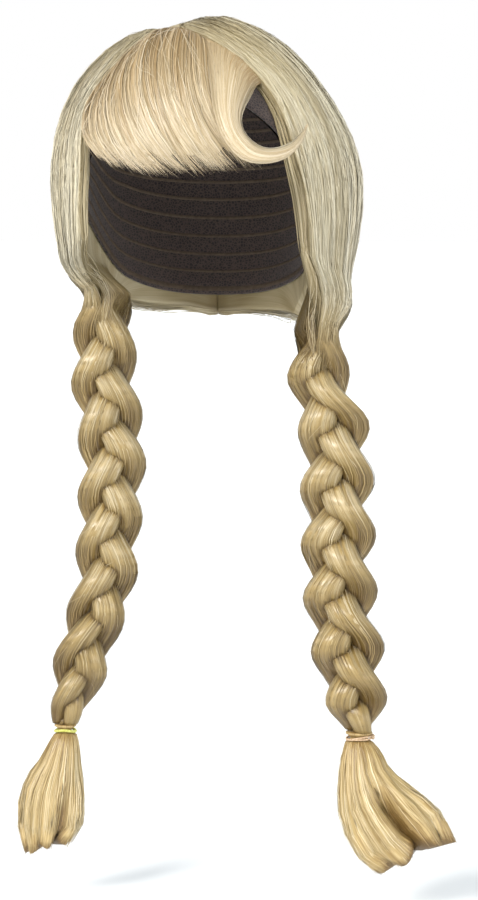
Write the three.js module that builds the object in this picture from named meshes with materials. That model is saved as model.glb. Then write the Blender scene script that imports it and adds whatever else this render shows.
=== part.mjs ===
// Pigtail wig: two halves of long hair that flow from a centre parting into two three-strand braids,
// a short fringe, one curled lock on the forehead, and the foundation cap that carries them.
// Millimetres, +Z up, the front towards -Y. The origin is the top of the cap's hollow.
import * as THREE from 'three';
import { mergeVertices } from 'three/addons/utils/BufferGeometryUtils.js';

// Hollow that the head goes in
const headHalfWidth = 77;
const headHalfLength = 96;
const headRise = 95; // from its widest level up to its top
const headDrop = 138; // how far its lower curve would reach below that level

// Foundation cap
const capWall = 1.2;
const layClearance = 1.2; // between the cap and the hair that lies on it
const seamGap = 0.35; // between two pieces side by side

// Long hair of each half
const partingHeight = 8; // how far the roots stand proud of the cap along the parting
const edgeHeight = 0.44; // height of the front and nape edges, as a share of the full height
const ribDepth = 2.2;
const ribCount = 7;

// Fringe and curled lock
const fringeRootHeight = 7.5;
const fringeTipHeight = 6.5;
const fringeTipThickness = 1.6;
const fringeLocks = 8;
const fringeLockDrop = 0.05; // how far a lock's tip reaches past its sides, as a share of the head's rise
const curlWidth = 38;
const curlThickness = 7;
const curlStandoff = 19.5; // of the tip, above the hollow's surface

// Braids
const bandDrop = 454; // from the crown down to both elastics
const rightRootDrop = 189; // from the crown down to where the right braid starts
const leftRootDrop = 166;
const braidPitch = 110; // one strand's full wave
const braidForward = 22; // how far behind the ears' line the braids hang
const strandSwing = 11.5; // sideways travel of a strand from the braid's middle
const strandWeave = 8; // its travel from front to back
const strandHalfWidth = 13.5;
const strandHalfDepth = 10.5;
const strandGap = 2.3; // between two strands where they lie against each other

// Elastics and tails
const bandThickness = 2.4;
const bandHeight = 3.2;
const bandGap = 0.6; // between the elastic and the neck inside it
const neckRise = 4; // of the tail's neck above and below the elastic
const tailLobes = 7;
const tailLobeDepth = 0.09;
const tailTipDrop = 0.11; // of the longest locks, as a share of the tail's length

// Fineness of the meshes
const hairColumns = ribCount * 3;
const hairRings = 20;
const strandSides = 10;
const strandRings = 38;
const capColumns = 24;
const capRows = 8;

// Cap edge from the forehead (turn 0) round to the nape (turn 180): fall is the angle down from the top
const capEdge = [
  { turn: 0, fall: 51 },
  { turn: 45, fall: 68 },
  { turn: 75, fall: 101 },
  { turn: 95, fall: 99 },
  { turn: 125, fall: 116 },
  { turn: 180, fall: 122 },
];

// The parting, from its front end over the crown and down the back: shares of the hollow's half sizes
const parting = [
  { at: 0, x: -0.27, y: -0.13, z: 0.95 },
  { at: 0.2, x: -0.22, y: 0.22, z: 0.95 },
  { at: 0.42, x: -0.15, y: 0.65, z: 0.74 },
  { at: 0.66, x: -0.08, y: 0.97, z: 0.22 },
  { at: 1, x: 0, y: 0.8, z: -0.6 },
];

// Flow lines of a half, from its front edge (at 0) to the nape (at 1), as shares of the hollow's half
// sizes. The hair passes the crown, temple, ear and neck stations between the parting and the braid.
const rightFlow = [
  { at: 0, crown: [0.2, -0.47, 0.86], temple: [0.61, -0.56, 0.55], ear: [0.79, -0.6, 0.08],
    neck: [0.87, -0.42, -0.3] },
  { at: 0.25, crown: [0.32, -0.12, 0.94], temple: [0.8, -0.2, 0.56], ear: [0.97, -0.22, 0.08],
    neck: [0.94, -0.12, -0.35] },
  { at: 0.5, crown: [0.36, 0.45, 0.82], temple: [0.8, 0.33, 0.5], ear: [0.97, 0.24, 0],
    neck: [0.92, 0.16, -0.4] },
  { at: 0.75, crown: [0.34, 0.88, 0.26], temple: [0.68, 0.7, 0.18], ear: [0.85, 0.53, -0.14],
    neck: [0.84, 0.36, -0.44] },
  { at: 1, crown: [0.25, 0.77, -0.6], temple: [0.46, 0.67, -0.6], ear: [0.6, 0.55, -0.6],
    neck: [0.7, 0.4, -0.6] },
];
const leftFlow = [
  { at: 0, crown: [-0.5, -0.4, 0.77], temple: [-0.76, -0.42, 0.48], ear: [-0.79, -0.6, 0.06],
    neck: [-0.82, -0.5, -0.24] },
  { at: 0.25, crown: [-0.6, 0.02, 0.8], temple: [-0.87, -0.12, 0.48], ear: [-0.96, -0.24, 0.06],
    neck: [-0.95, -0.16, -0.27] },
  { at: 0.5, crown: [-0.56, 0.45, 0.7], temple: [-0.85, 0.33, 0.4], ear: [-0.97, 0.22, 0],
    neck: [-0.94, 0.14, -0.32] },
  { at: 0.75, crown: [-0.42, 0.86, 0.24], temple: [-0.72, 0.67, 0.16], ear: [-0.87, 0.49, -0.1],
    neck: [-0.87, 0.34, -0.36] },
  { at: 1, crown: [-0.25, 0.78, -0.58], temple: [-0.47, 0.68, -0.57], ear: [-0.63, 0.55, -0.55],
    neck: [-0.74, 0.42, -0.53] },
];

// Each side's own sizes: hair heights at the stations, the braid's root, its bow and its tail.
// The tables run down the braid or the tail: bow, width, out and ahead are shares of its length.
const sides = {
  right: {
    sign: 1,
    flow: rightFlow,
    heights: { crown: 17, temple: 18, ear: 26, neck: 24 },
    rootOut: 74,
    rootDrop: rightRootDrop,
    braidLength: bandDrop - rightRootDrop,
    girth: 1,
    strandTurn: 26,
    bow: [
      { down: 0, out: 0 },
      { down: 0.12, out: 0 },
      { down: 0.22, out: 0.032 },
      { down: 0.35, out: 0.044 },
      { down: 0.65, out: 0.053 },
      { down: 0.8, out: 0.073 },
      { down: 1, out: 0.104 },
    ],
    thickness: [
      { down: 0, share: 0.78 },
      { down: 0.12, share: 0.88 },
      { down: 0.24, share: 1 },
      { down: 0.82, share: 0.98 },
      { down: 0.93, share: 0.76 },
      { down: 1, share: 0.42 },
    ],
    bandHalfWidth: 9,
    bandHalfDepth: 7.5,
    tailLength: 76,
    tail: [
      { down: 0.12, out: 0.02, ahead: 0.02, width: 0.16, depth: 0.13, tilt: 4 },
      { down: 0.3, out: 0.05, ahead: 0.06, width: 0.21, depth: 0.17, tilt: 12 },
      { down: 0.5, out: 0.13, ahead: 0.11, width: 0.3, depth: 0.21, tilt: 22 },
      { down: 0.7, out: 0.27, ahead: 0.16, width: 0.37, depth: 0.22, tilt: 30 },
      { down: 0.86, out: 0.4, ahead: 0.19, width: 0.38, depth: 0.19, tilt: 32 },
      { down: 0.97, out: 0.5, ahead: 0.2, width: 0.33, depth: 0.14, tilt: 24 },
    ],
  },
  left: {
    sign: -1,
    flow: leftFlow,
    heights: { crown: 20, temple: 20, ear: 18, neck: 17 },
    rootOut: 67,
    rootDrop: leftRootDrop,
    braidLength: bandDrop - leftRootDrop,
    girth: 0.94,
    strandTurn: 74,
    bow: [
      { down: 0, out: 0 },
      { down: 0.19, out: 0.003 },
      { down: 0.35, out: -0.014 },
      { down: 0.52, out: -0.007 },
      { down: 0.68, out: 0.007 },
      { down: 0.8, out: 0.045 },
      { down: 0.91, out: 0.073 },
      { down: 1, out: 0.1 },
    ],
    thickness: [
      { down: 0, share: 0.98 },
      { down: 0.3, share: 1 },
      { down: 0.6, share: 0.9 },
      { down: 0.86, share: 0.78 },
      { down: 0.94, share: 0.64 },
      { down: 1, share: 0.38 },
    ],
    bandHalfWidth: 7.4,
    bandHalfDepth: 6.6,
    tailLength: 75,
    tail: [
      { down: 0.12, out: 0.01, ahead: 0.02, width: 0.13, depth: 0.12, tilt: 2 },
      { down: 0.3, out: 0.04, ahead: 0.06, width: 0.18, depth: 0.15, tilt: 6 },
      { down: 0.48, out: 0.08, ahead: 0.1, width: 0.25, depth: 0.17, tilt: 8 },
      { down: 0.7, out: 0.1, ahead: 0.14, width: 0.275, depth: 0.17, tilt: 6 },
      { down: 0.88, out: 0.115, ahead: 0.17, width: 0.25, depth: 0.15, tilt: -6 },
      { down: 1, out: 0.14, ahead: 0.19, width: 0.19, depth: 0.11, tilt: -14 },
    ],
  },
};

// Roots and tips of the fringe, from the left temple to the curled lock. Side and along place the root
// on that half's front edge, turn is the tip's angle from the front, fall its share of the head's rise.
// Height lowers the sheet where it runs under the curled lock.
const fringeRows = [
  { at: 0, side: 'left', along: 0.45, turn: -53, fall: 0.79, height: 1 },
  { at: 0.17, side: 'left', along: 0.28, turn: -44, fall: 0.84, height: 1 },
  { at: 0.36, side: 'left', along: 0.13, turn: -28, fall: 0.88, height: 1 },
  { at: 0.54, side: 'left', along: 0.04, turn: -14, fall: 0.88, height: 1 },
  { at: 0.7, side: 'right', along: 0.05, turn: -1, fall: 0.87, height: 1 },
  { at: 0.85, side: 'right', along: 0.13, turn: 10, fall: 0.86, height: 0.8 },
  { at: 1, side: 'right', along: 0.21, turn: 20, fall: 0.83, height: 0.45 },
];

// The curled lock from its roots to its tip: across is a share of the head's half width, fall of its
// rise, width, thickness and height of the lock's own sizes.
const curlRows = [
  { across: 0.31, fall: 0.3, width: 0.95, thickness: 0.6, height: 0.5 },
  { across: 0.275, fall: 0.43, width: 0.76, thickness: 1, height: 0.62 },
  { across: 0.305, fall: 0.6, width: 0.5, thickness: 1, height: 0.64 },
  { across: 0.388, fall: 0.766, width: 0.34, thickness: 1, height: 0.66 },
  { across: 0.514, fall: 0.843, width: 0.3, thickness: 1, height: 0.69 },
  { across: 0.64, fall: 0.835, width: 0.27, thickness: 0.95, height: 0.76 },
  { across: 0.725, fall: 0.775, width: 0.2, thickness: 0.7, height: 0.88 },
  { across: 0.77, fall: 0.69, width: 0.06, thickness: 0.25, height: 1 },
];

const radians = THREE.MathUtils.degToRad;
const clamp01 = (value) => Math.min(1, Math.max(0, value));
const smooth = (value) => clamp01(value) ** 2 * (3 - 2 * clamp01(value));
const mix = (a, b, share) => a + (b - a) * share;

// Value of a table's column at a place, on a smooth curve through its rows
function readTable(rows, key, place, column) {
  const count = rows.length;
  let index = 0;
  while (index < count - 2 && place > rows[index + 1][key]) index += 1;
  const from = rows[index];
  const to = rows[index + 1];
  const share = clamp01((place - from[key]) / (to[key] - from[key]));
  const before = rows[Math.max(index - 1, 0)];
  const after = rows[Math.min(index + 2, count - 1)];
  const span = to[key] - from[key];
  const slopeIn = ((to[column] - before[column]) / (to[key] - before[key])) * span;
  const slopeOut = ((after[column] - from[column]) / (after[key] - from[key])) * span;
  const square = share * share;
  const cube = square * share;
  return (
    from[column] * (2 * cube - 3 * square + 1) +
    slopeIn * (cube - 2 * square + share) +
    to[column] * (3 * square - 2 * cube) +
    slopeOut * (cube - square)
  );
}

// Point on the hollow's surface in a direction, lifted off it
function onHead(direction, lift) {
  const unit = direction.clone().normalize();
  const reach = unit.z > 0 ? headRise : headDrop;
  return new THREE.Vector3(
    (headHalfWidth + lift) * unit.x,
    (headHalfLength + lift) * unit.y,
    (reach + lift) * unit.z - headRise,
  );
}

// Moves a point sideways out of the hollow's surface lifted by a clearance, if it is inside
function clearOfHead(point, lift) {
  const rise = point.z + headRise;
  const level = rise / ((rise > 0 ? headRise : headDrop) + lift);
  if (Math.abs(level) >= 1) return point;
  const inside = Math.hypot(point.x / (headHalfWidth + lift), point.y / (headHalfLength + lift));
  const edge = Math.sqrt(1 - level * level);
  if (inside >= edge || inside === 0) return point;
  return new THREE.Vector3((point.x * edge) / inside, (point.y * edge) / inside, point.z);
}

// Closed mesh through rings of equal length. Fans close a solid's ends, ladders those of a folded wall.
function loft(rings, ends) {
  const sides = rings[0].length;
  const points = rings.flat();
  const triangles = [];
  for (let ring = 0; ring < rings.length - 1; ring += 1) {
    for (let side = 0; side < sides; side += 1) {
      const next = (side + 1) % sides;
      const a = ring * sides + side;
      const b = ring * sides + next;
      triangles.push([a, b, b + sides], [a, b + sides, a + sides]);
    }
  }
  const lastRing = (rings.length - 1) * sides;
  if (ends === 'ladder') {
    for (let side = 0; side < sides / 2 - 1; side += 1) {
      const across = sides - 1 - side;
      triangles.push([side + 1, side, across], [side + 1, across, across - 1]);
      triangles.push([lastRing + side, lastRing + side + 1, lastRing + across]);
      triangles.push([lastRing + side + 1, lastRing + across - 1, lastRing + across]);
    }
  } else {
    const first = points.push(centreOf(rings[0])) - 1;
    const last = points.push(ends?.lastCentre ?? centreOf(rings[rings.length - 1])) - 1;
    for (let side = 0; side < sides; side += 1) {
      const next = (side + 1) % sides;
      triangles.push([next, side, first], [lastRing + side, lastRing + next, last]);
    }
  }
  return solid(points, triangles);
}

function centreOf(ring) {
  const sum = new THREE.Vector3();
  ring.forEach((point) => sum.add(point));
  return sum.divideScalar(ring.length);
}

// Geometry of a closed mesh, turned so that its faces point out
function solid(points, triangles) {
  let volume = 0;
  for (const [a, b, c] of triangles) {
    volume += points[a].dot(new THREE.Vector3().crossVectors(points[b], points[c]));
  }
  const order = volume > 0 ? [0, 1, 2] : [0, 2, 1];
  const geometry = new THREE.BufferGeometry();
  geometry.setAttribute('position', new THREE.Float32BufferAttribute(
    points.flatMap((point) => [point.x, point.y, point.z]), 3));
  geometry.setIndex(triangles.flatMap((triangle) => order.map((corner) => triangle[corner])));
  const merged = mergeVertices(geometry, 1e-3);
  merged.computeVertexNormals();
  return merged;
}

function capGeometry() {
  const points = [];
  const triangles = [];
  const layers = [capWall, 0];
  const layerSize = capRows * capColumns + 1;
  for (const lift of layers) {
    points.push(onHead(new THREE.Vector3(0, 0, 1), lift));
    for (let row = 1; row <= capRows; row += 1) {
      for (let column = 0; column < capColumns; column += 1) {
        const turn = (column / capColumns) * 360;
        const edge = readTable(capEdge, 'turn', Math.min(turn, 360 - turn), 'fall');
        const fall = radians((edge * row) / capRows);
        const around = radians(turn);
        const direction = new THREE.Vector3(
          Math.sin(fall) * Math.sin(around),
          -Math.sin(fall) * Math.cos(around),
          Math.cos(fall),
        );
        points.push(onHead(direction, lift));
      }
    }
  }
  const at = (layer, row, column) =>
    layer * layerSize + 1 + (row - 1) * capColumns + (column % capColumns);
  for (let column = 0; column < capColumns; column += 1) {
    triangles.push([0, at(0, 1, column), at(0, 1, column + 1)]);
    triangles.push([layerSize, at(1, 1, column + 1), at(1, 1, column)]);
    for (let row = 1; row < capRows; row += 1) {
      const quad = [at(0, row, column), at(0, row + 1, column), at(0, row + 1, column + 1),
        at(0, row, column + 1)];
      triangles.push([quad[0], quad[1], quad[2]], [quad[0], quad[2], quad[3]]);
      const under = quad.map((index) => index + layerSize);
      triangles.push([under[0], under[2], under[1]], [under[0], under[3], under[2]]);
    }
    const rim = [at(0, capRows, column), at(0, capRows, column + 1)];
    const inner = [at(1, capRows, column), at(1, capRows, column + 1)];
    triangles.push([rim[0], inner[0], inner[1]], [rim[0], inner[1], rim[1]]);
  }
  return solid(points, triangles);
}

// Direction of a half's hair: across from the front edge (0) to the nape (1), along from the parting
// (0) to the last station above the braid (1)
function hairDirection(side, across, along) {
  const shift = (side.sign * seamGap) / headHalfWidth;
  const start = ['x', 'y', 'z'].map((axis) => readTable(parting, 'at', across, axis));
  start[0] += shift;
  const stations = [{ along: 0, x: start[0], y: start[1], z: start[2] }];
  ['crown', 'temple', 'ear', 'neck'].forEach((name, index) => {
    const [x, y, z] = [0, 1, 2].map((axis) => {
      const column = side.flow.map((row) => ({ at: row.at, value: row[name][axis] }));
      return readTable(column, 'at', across, 'value');
    });
    stations.push({ along: (index + 1) / 4, x, y, z });
  });
  return new THREE.Vector3(...['x', 'y', 'z'].map((axis) => readTable(stations, 'along', along, axis)));
}

// Height of a half's hair above the hollow
function hairHeight(side, across, along) {
  const { crown, temple, ear, neck } = side.heights;
  const rows = [
    { along: 0, height: partingHeight },
    { along: 0.12, height: mix(partingHeight, crown, 0.8) },
    { along: 0.25, height: crown },
    { along: 0.5, height: temple },
    { along: 0.75, height: ear },
    { along: 1, height: neck },
  ];
  const full = readTable(rows, 'along', along, 'height');
  const edge = Math.max(1 - smooth(across / 0.26), 1 - smooth((1 - across) / 0.24));
  const rib = Math.abs(Math.sin(Math.PI * ribCount * across)) - 0.5;
  const grown = smooth(along / 0.15);
  return mix(full, mix(full, full * edgeHeight, edge), grown) + rib * ribDepth * grown;
}

// Centre of the braid a share of the way down it
function braidCentre(side, down) {
  const out = side.rootOut + readTable(side.bow, 'down', down, 'out') * side.braidLength;
  return new THREE.Vector3(side.sign * out, braidForward, -side.rootDrop - down * side.braidLength);
}

// A half's hair is a folded wall: each ring runs over its outside and back along its inside. Its last
// stretch closes round the braid's root.
function hairGeometry(side) {
  const innerLift = capWall + layClearance;
  const gatherStart = 0.74;
  const centre = braidCentre(side, 0);
  const girth = side.girth * side.thickness[0].share;
  const halfWidth = (strandSwing + strandHalfWidth) * girth;
  const halfDepth = (strandWeave + strandHalfDepth) * girth;
  const rings = [];
  for (let ring = 0; ring <= hairRings; ring += 1) {
    const run = ring / hairRings;
    const along = Math.min(run / gatherStart, 1);
    const gather = clamp01((run - gatherStart) / (1 - gatherStart));
    const drawn = mix(gather, smooth(gather), 0.5);
    const outer = [];
    const inner = [];
    for (let column = 0; column <= hairColumns; column += 1) {
      const across = column / hairColumns;
      const direction = hairDirection(side, across, along);
      const wall = [onHead(direction, hairHeight(side, across, along)), onHead(direction, innerLift)];
      const turn = Math.PI * (across - 0.5);
      const rib = 1 + 0.05 * (Math.abs(Math.sin(Math.PI * ribCount * across)) - 0.5);
      const ends = [1, -1].map((face) => new THREE.Vector3(
        centre.x + face * side.sign * halfWidth * Math.cos(turn) * rib,
        centre.y + halfDepth * Math.sin(turn) * (face > 0 ? 1 : 0.9),
        centre.z,
      ));
      outer.push(clearOfHead(wall[0].lerp(ends[0], drawn), innerLift + seamGap));
      inner.push(clearOfHead(wall[1].lerp(ends[1], drawn), innerLift));
    }
    rings.push([...outer, ...inner.reverse()]);
  }
  return loft(rings, 'ladder');
}

// The fringe is one sheet: locks stand on its outside and reach past its lower edge as points
function fringeGeometry() {
  const columns = fringeLocks * 4;
  const rows = 6;
  const rings = [];
  for (let row = 0; row <= rows; row += 1) {
    const down = row / rows;
    const outer = [];
    const inner = [];
    for (let column = 0; column <= columns; column += 1) {
      const at = column / columns;
      const lock = Math.abs(Math.sin(Math.PI * fringeLocks * at));
      const root = fringeRoot(at);
      const turn = radians(readTable(fringeRows, 'at', at, 'turn'));
      const fall = readTable(fringeRows, 'at', at, 'fall') + fringeLockDrop * (lock - 0.7);
      const level = 1 - fall;
      const flat = Math.sqrt(1 - level * level);
      const tip = new THREE.Vector3(flat * Math.sin(turn), -flat * Math.cos(turn), level);
      const bulge = 1 + 0.06 * Math.sin(Math.PI * down);
      const direction = root.clone().lerp(tip, down).multiplyScalar(bulge);
      const under = mix(capWall + layClearance, fringeTipHeight - fringeTipThickness, smooth(down));
      const crest = mix(fringeRootHeight, fringeTipHeight, down) + 3 * Math.sin(Math.PI * down);
      const over = mix(under, crest, readTable(fringeRows, 'at', at, 'height'));
      const rib = 1.3 * (lock - 0.5) * smooth(down / 0.25);
      const side = Math.min(at, 1 - at);
      const rounding = mix(0.55, 1, smooth(side / 0.06));
      outer.push(onHead(direction, under + (over + rib - under) * rounding));
      inner.push(onHead(direction, under));
    }
    rings.push([...outer, ...inner.reverse()]);
  }
  return loft(rings, 'ladder');
}

// Root of the fringe on the front edge of the long hair, a gap clear of it
function fringeRoot(at) {
  const along = readTable(
    fringeRows.map((row) => ({ at: row.at, value: row.along * (row.side === 'left' ? -1 : 1) })),
    'at', at, 'value',
  );
  const side = along < 0 ? sides.left : sides.right;
  const edge = hairDirection(side, 0, Math.abs(along)).normalize();
  const ahead = new THREE.Vector3(0, -1, 0).sub(edge).normalize();
  return edge.addScaledVector(ahead, (4 * seamGap) / headHalfWidth).normalize();
}

function curlGeometry() {
  const steps = 16;
  const sidesRound = 10;
  const rows = curlRows.map((row, index) => ({ ...row, at: index / (curlRows.length - 1) }));
  const centreAt = (at) => {
    const across = readTable(rows, 'at', at, 'across');
    const level = 1 - readTable(rows, 'at', at, 'fall');
    const ahead = Math.sqrt(Math.max(0, 1 - across * across - level * level));
    const lift = readTable(rows, 'at', at, 'height') * curlStandoff;
    return { out: new THREE.Vector3(across, -ahead, level).normalize(), lift };
  };
  const rings = [];
  for (let step = 0; step <= steps; step += 1) {
    const at = step / steps;
    const { out, lift } = centreAt(at);
    const centre = onHead(out, lift);
    const before = centreAt(Math.max(0, at - 0.02));
    const after = centreAt(Math.min(1, at + 0.02));
    const along = onHead(after.out, after.lift).sub(onHead(before.out, before.lift)).normalize();
    const across = new THREE.Vector3().crossVectors(along, out).normalize();
    const up = new THREE.Vector3().crossVectors(across, along).normalize();
    const halfWidth = (readTable(rows, 'at', at, 'width') * curlWidth) / 2;
    const halfThickness = (readTable(rows, 'at', at, 'thickness') * curlThickness) / 2;
    const ring = [];
    for (let side = 0; side < sidesRound; side += 1) {
      const turn = (2 * Math.PI * side) / sidesRound;
      ring.push(centre.clone()
        .addScaledVector(across, halfWidth * Math.cos(turn))
        .addScaledVector(up, halfThickness * Math.sin(turn)));
    }
    rings.push(ring);
  }
  return loft(rings);
}

// Middles of the three strands across the braid: each swings from side to side in a flat figure eight
function strandCentres(side, down) {
  const share = side.girth * readTable(side.thickness, 'down', down, 'share');
  const turn = radians(side.strandTurn) + (2 * Math.PI * down * side.braidLength) / braidPitch;
  return [0, 1, 2].map((strand) => {
    const phase = turn + (2 * Math.PI * strand) / 3;
    return new THREE.Vector2(
      strandSwing * share * Math.sin(phase),
      -strandWeave * share * Math.sin(2 * phase),
    );
  });
}

// A strand's section is an oval that stops short of the halfway lines to its two neighbours, here and
// a quarter of a step up and down, because the stretches between sections are straight
function strandGeometry(side, strand) {
  const rings = [];
  for (let step = 0; step <= strandRings; step += 1) {
    const down = step / strandRings;
    const share = side.girth * readTable(side.thickness, 'down', down, 'share');
    const middle = braidCentre(side, down);
    const own = strandCentres(side, down)[strand];
    const nearby = [-0.25, 0, 0.25].map((shift) => strandCentres(side, down + shift / strandRings));
    const ring = [];
    for (let corner = 0; corner < strandSides; corner += 1) {
      const turn = (2 * Math.PI * corner) / strandSides;
      const aim = new THREE.Vector2(Math.cos(turn), Math.sin(turn));
      const limits = [1 / Math.hypot(aim.x / (strandHalfWidth * share), aim.y / (strandHalfDepth * share))];
      for (const near of nearby) {
        near.forEach((other, index) => {
          const apart = other.clone().sub(near[strand]);
          const facing = aim.dot(apart);
          if (index !== strand && facing > 0) {
            limits.push(((apart.length() - strandGap) / 2) * (apart.length() / facing));
          }
        });
      }
      const reach = limits.reduce((sum, limit) => sum + limit ** -8, 0) ** (-1 / 8);
      ring.push(new THREE.Vector3(
        middle.x + own.x + aim.x * reach,
        middle.y + own.y + aim.y * reach,
        middle.z - seamGap,
      ));
    }
    rings.push(ring);
  }
  return loft(rings);
}

// Top of the tail's neck, the elastic's middle and the neck's foot below the braid
function neckTop(side) {
  return braidCentre(side, 1).add(new THREE.Vector3(0, 0, -2 * seamGap));
}

function bandGeometry(side) {
  const segments = 20;
  const middle = neckTop(side);
  middle.z -= neckRise;
  const rings = [];
  for (let segment = 0; segment < segments; segment += 1) {
    const turn = (2 * Math.PI * segment) / segments;
    const ring = [];
    for (let corner = 0; corner < 6; corner += 1) {
      const round = (2 * Math.PI * corner) / 6;
      const out = (bandThickness / 2) * (Math.cos(round) - 1);
      ring.push(new THREE.Vector3(
        middle.x + (side.bandHalfWidth + out) * Math.cos(turn),
        middle.y + (side.bandHalfDepth + out) * Math.sin(turn),
        middle.z + (bandHeight / 2) * Math.sin(round),
      ));
    }
    rings.push(ring);
  }
  const points = rings.flat();
  const triangles = [];
  for (let segment = 0; segment < segments; segment += 1) {
    const next = ((segment + 1) % segments) * 6;
    for (let corner = 0; corner < 6; corner += 1) {
      const a = segment * 6 + corner;
      const b = segment * 6 + ((corner + 1) % 6);
      const c = next + ((corner + 1) % 6);
      const d = next + corner;
      triangles.push([a, b, c], [a, c, d]);
    }
  }
  return solid(points, triangles);
}

// The tail is drawn in by its elastic and spreads below it into locks of unlike length
function tailGeometry(side) {
  const sidesRound = tailLobes * 3;
  const top = neckTop(side);
  const waist = 1 - (bandThickness + bandGap) / side.bandHalfWidth;
  const rings = [];
  const oval = (centre, halfWidth, halfDepth, tilt, lobes, spread) => {
    const ring = [];
    for (let corner = 0; corner < sidesRound; corner += 1) {
      const turn = (2 * Math.PI * corner) / sidesRound;
      const lobe = Math.abs(Math.cos((turn * tailLobes) / 2));
      const grown = 1 + lobes * tailLobeDepth * (2 * lobe - 1);
      const across = halfWidth * Math.cos(turn) * grown;
      const dip = spread * side.tailLength * tailTipDrop * (lobe - 0.5) * (1 + 0.5 * Math.cos(3 * turn));
      ring.push(new THREE.Vector3(
        centre.x + side.sign * (across * Math.cos(tilt) + dip * Math.sin(tilt)),
        centre.y + halfDepth * Math.sin(turn) * grown,
        centre.z + across * Math.sin(tilt) - dip * Math.cos(tilt),
      ));
    }
    return ring;
  };
  const neck = [
    { drop: 0, swell: 0.98 },
    { drop: neckRise - bandHeight * 0.8, swell: 0.98 },
    { drop: neckRise - bandHeight * 0.3, swell: waist },
    { drop: neckRise + bandHeight * 0.3, swell: waist },
    { drop: neckRise + bandHeight * 0.8, swell: 0.98 },
  ];
  neck.forEach(({ drop, swell }) => {
    const centre = top.clone().add(new THREE.Vector3(0, 0, -drop));
    const halfDepth = side.bandHalfDepth - side.bandHalfWidth * (1 - swell);
    rings.push(oval(centre, side.bandHalfWidth * swell, halfDepth, 0, 0, 0));
  });
  side.tail.forEach((row, index) => {
    const centre = top.clone().add(new THREE.Vector3(
      side.sign * row.out * side.tailLength,
      -row.ahead * side.tailLength,
      -neckRise - row.down * side.tailLength,
    ));
    const share = (index + 1) / side.tail.length;
    const spread = index === side.tail.length - 1 ? 1 : 0;
    rings.push(oval(centre, row.width * side.tailLength, row.depth * side.tailLength,
      radians(row.tilt), share, spread));
  });
  const lastCentre = centreOf(rings[rings.length - 1]);
  lastCentre.z += side.tailLength * tailTipDrop;
  return loft(rings, { lastCentre });
}

function finish(color, roughness) {
  return new THREE.MeshStandardMaterial({ color, roughness, metalness: 0 });
}

const blonde = finish(0xcdb98a, 0.45);
const paleBlonde = finish(0xe2d3a8, 0.42);
const goldenBlonde = finish(0xc9a868, 0.48);
const darkNet = finish(0x2a1c1e, 0.85);

const wig = new THREE.Group();

function place(name, geometry, material) {
  const mesh = new THREE.Mesh(geometry, material);
  mesh.name = name;
  wig.add(mesh);
}

place('cap', capGeometry(), darkNet);
place('fringe', fringeGeometry(), paleBlonde);
place('curl_lock', curlGeometry(), paleBlonde);
for (const [name, side] of Object.entries(sides)) {
  place(`hair_${name}`, hairGeometry(side), blonde);
  for (let strand = 0; strand < 3; strand += 1) {
    place(`braid_${name}_strand_${strand + 1}`, strandGeometry(side, strand), blonde);
  }
  place(`tail_${name}`, tailGeometry(side), goldenBlonde);
}
place('band_left', bandGeometry(sides.left), finish(0xb9b552, 0.5));
place('band_right', bandGeometry(sides.right), finish(0xb99c78, 0.55));

export default wig;
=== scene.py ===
# Pigtail wig: the finish of every piece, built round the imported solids.
# Shapes are worked out in millimetres in the solids' own frame, and made into meshes in metres.
import math

import bpy
import numpy as np
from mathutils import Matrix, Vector


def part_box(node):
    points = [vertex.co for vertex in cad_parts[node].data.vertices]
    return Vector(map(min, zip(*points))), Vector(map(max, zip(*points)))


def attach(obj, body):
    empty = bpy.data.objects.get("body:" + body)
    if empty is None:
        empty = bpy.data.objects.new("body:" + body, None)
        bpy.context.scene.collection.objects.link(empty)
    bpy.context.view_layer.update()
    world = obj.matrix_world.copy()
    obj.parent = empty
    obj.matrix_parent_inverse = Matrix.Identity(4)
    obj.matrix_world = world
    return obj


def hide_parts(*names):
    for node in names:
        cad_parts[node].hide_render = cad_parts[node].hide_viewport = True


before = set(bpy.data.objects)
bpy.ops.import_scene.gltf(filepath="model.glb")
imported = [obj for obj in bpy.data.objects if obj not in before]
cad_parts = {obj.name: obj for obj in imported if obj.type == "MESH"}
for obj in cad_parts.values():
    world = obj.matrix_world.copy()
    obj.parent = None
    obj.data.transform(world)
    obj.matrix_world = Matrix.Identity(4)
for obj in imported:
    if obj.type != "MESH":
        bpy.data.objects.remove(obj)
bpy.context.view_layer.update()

bpy.ops.object.select_all(action="DESELECT")
metres = 0.001
fullTurn = 2 * np.pi

# The cap's hollow and the clearances on it, as in the solids
hollow = {
    "halfWidth": 77, "halfLength": 96, "rise": 95, "drop": 138,
    "capWall": 1.2, "layClearance": 1.2, "seamGap": 0.35,
}
hollowMiddle = np.array([0, 0, -hollow["rise"]])

# The parting, from its front end over the crown and down the back, as shares of the hollow's sizes
parting = {
    "at": [0, 0.2, 0.42, 0.66, 1],
    "x": [-0.27, -0.22, -0.15, -0.08, 0],
    "y": [-0.13, 0.22, 0.65, 0.97, 0.8],
    "z": [0.95, 0.95, 0.74, 0.22, -0.6],
}

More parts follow.
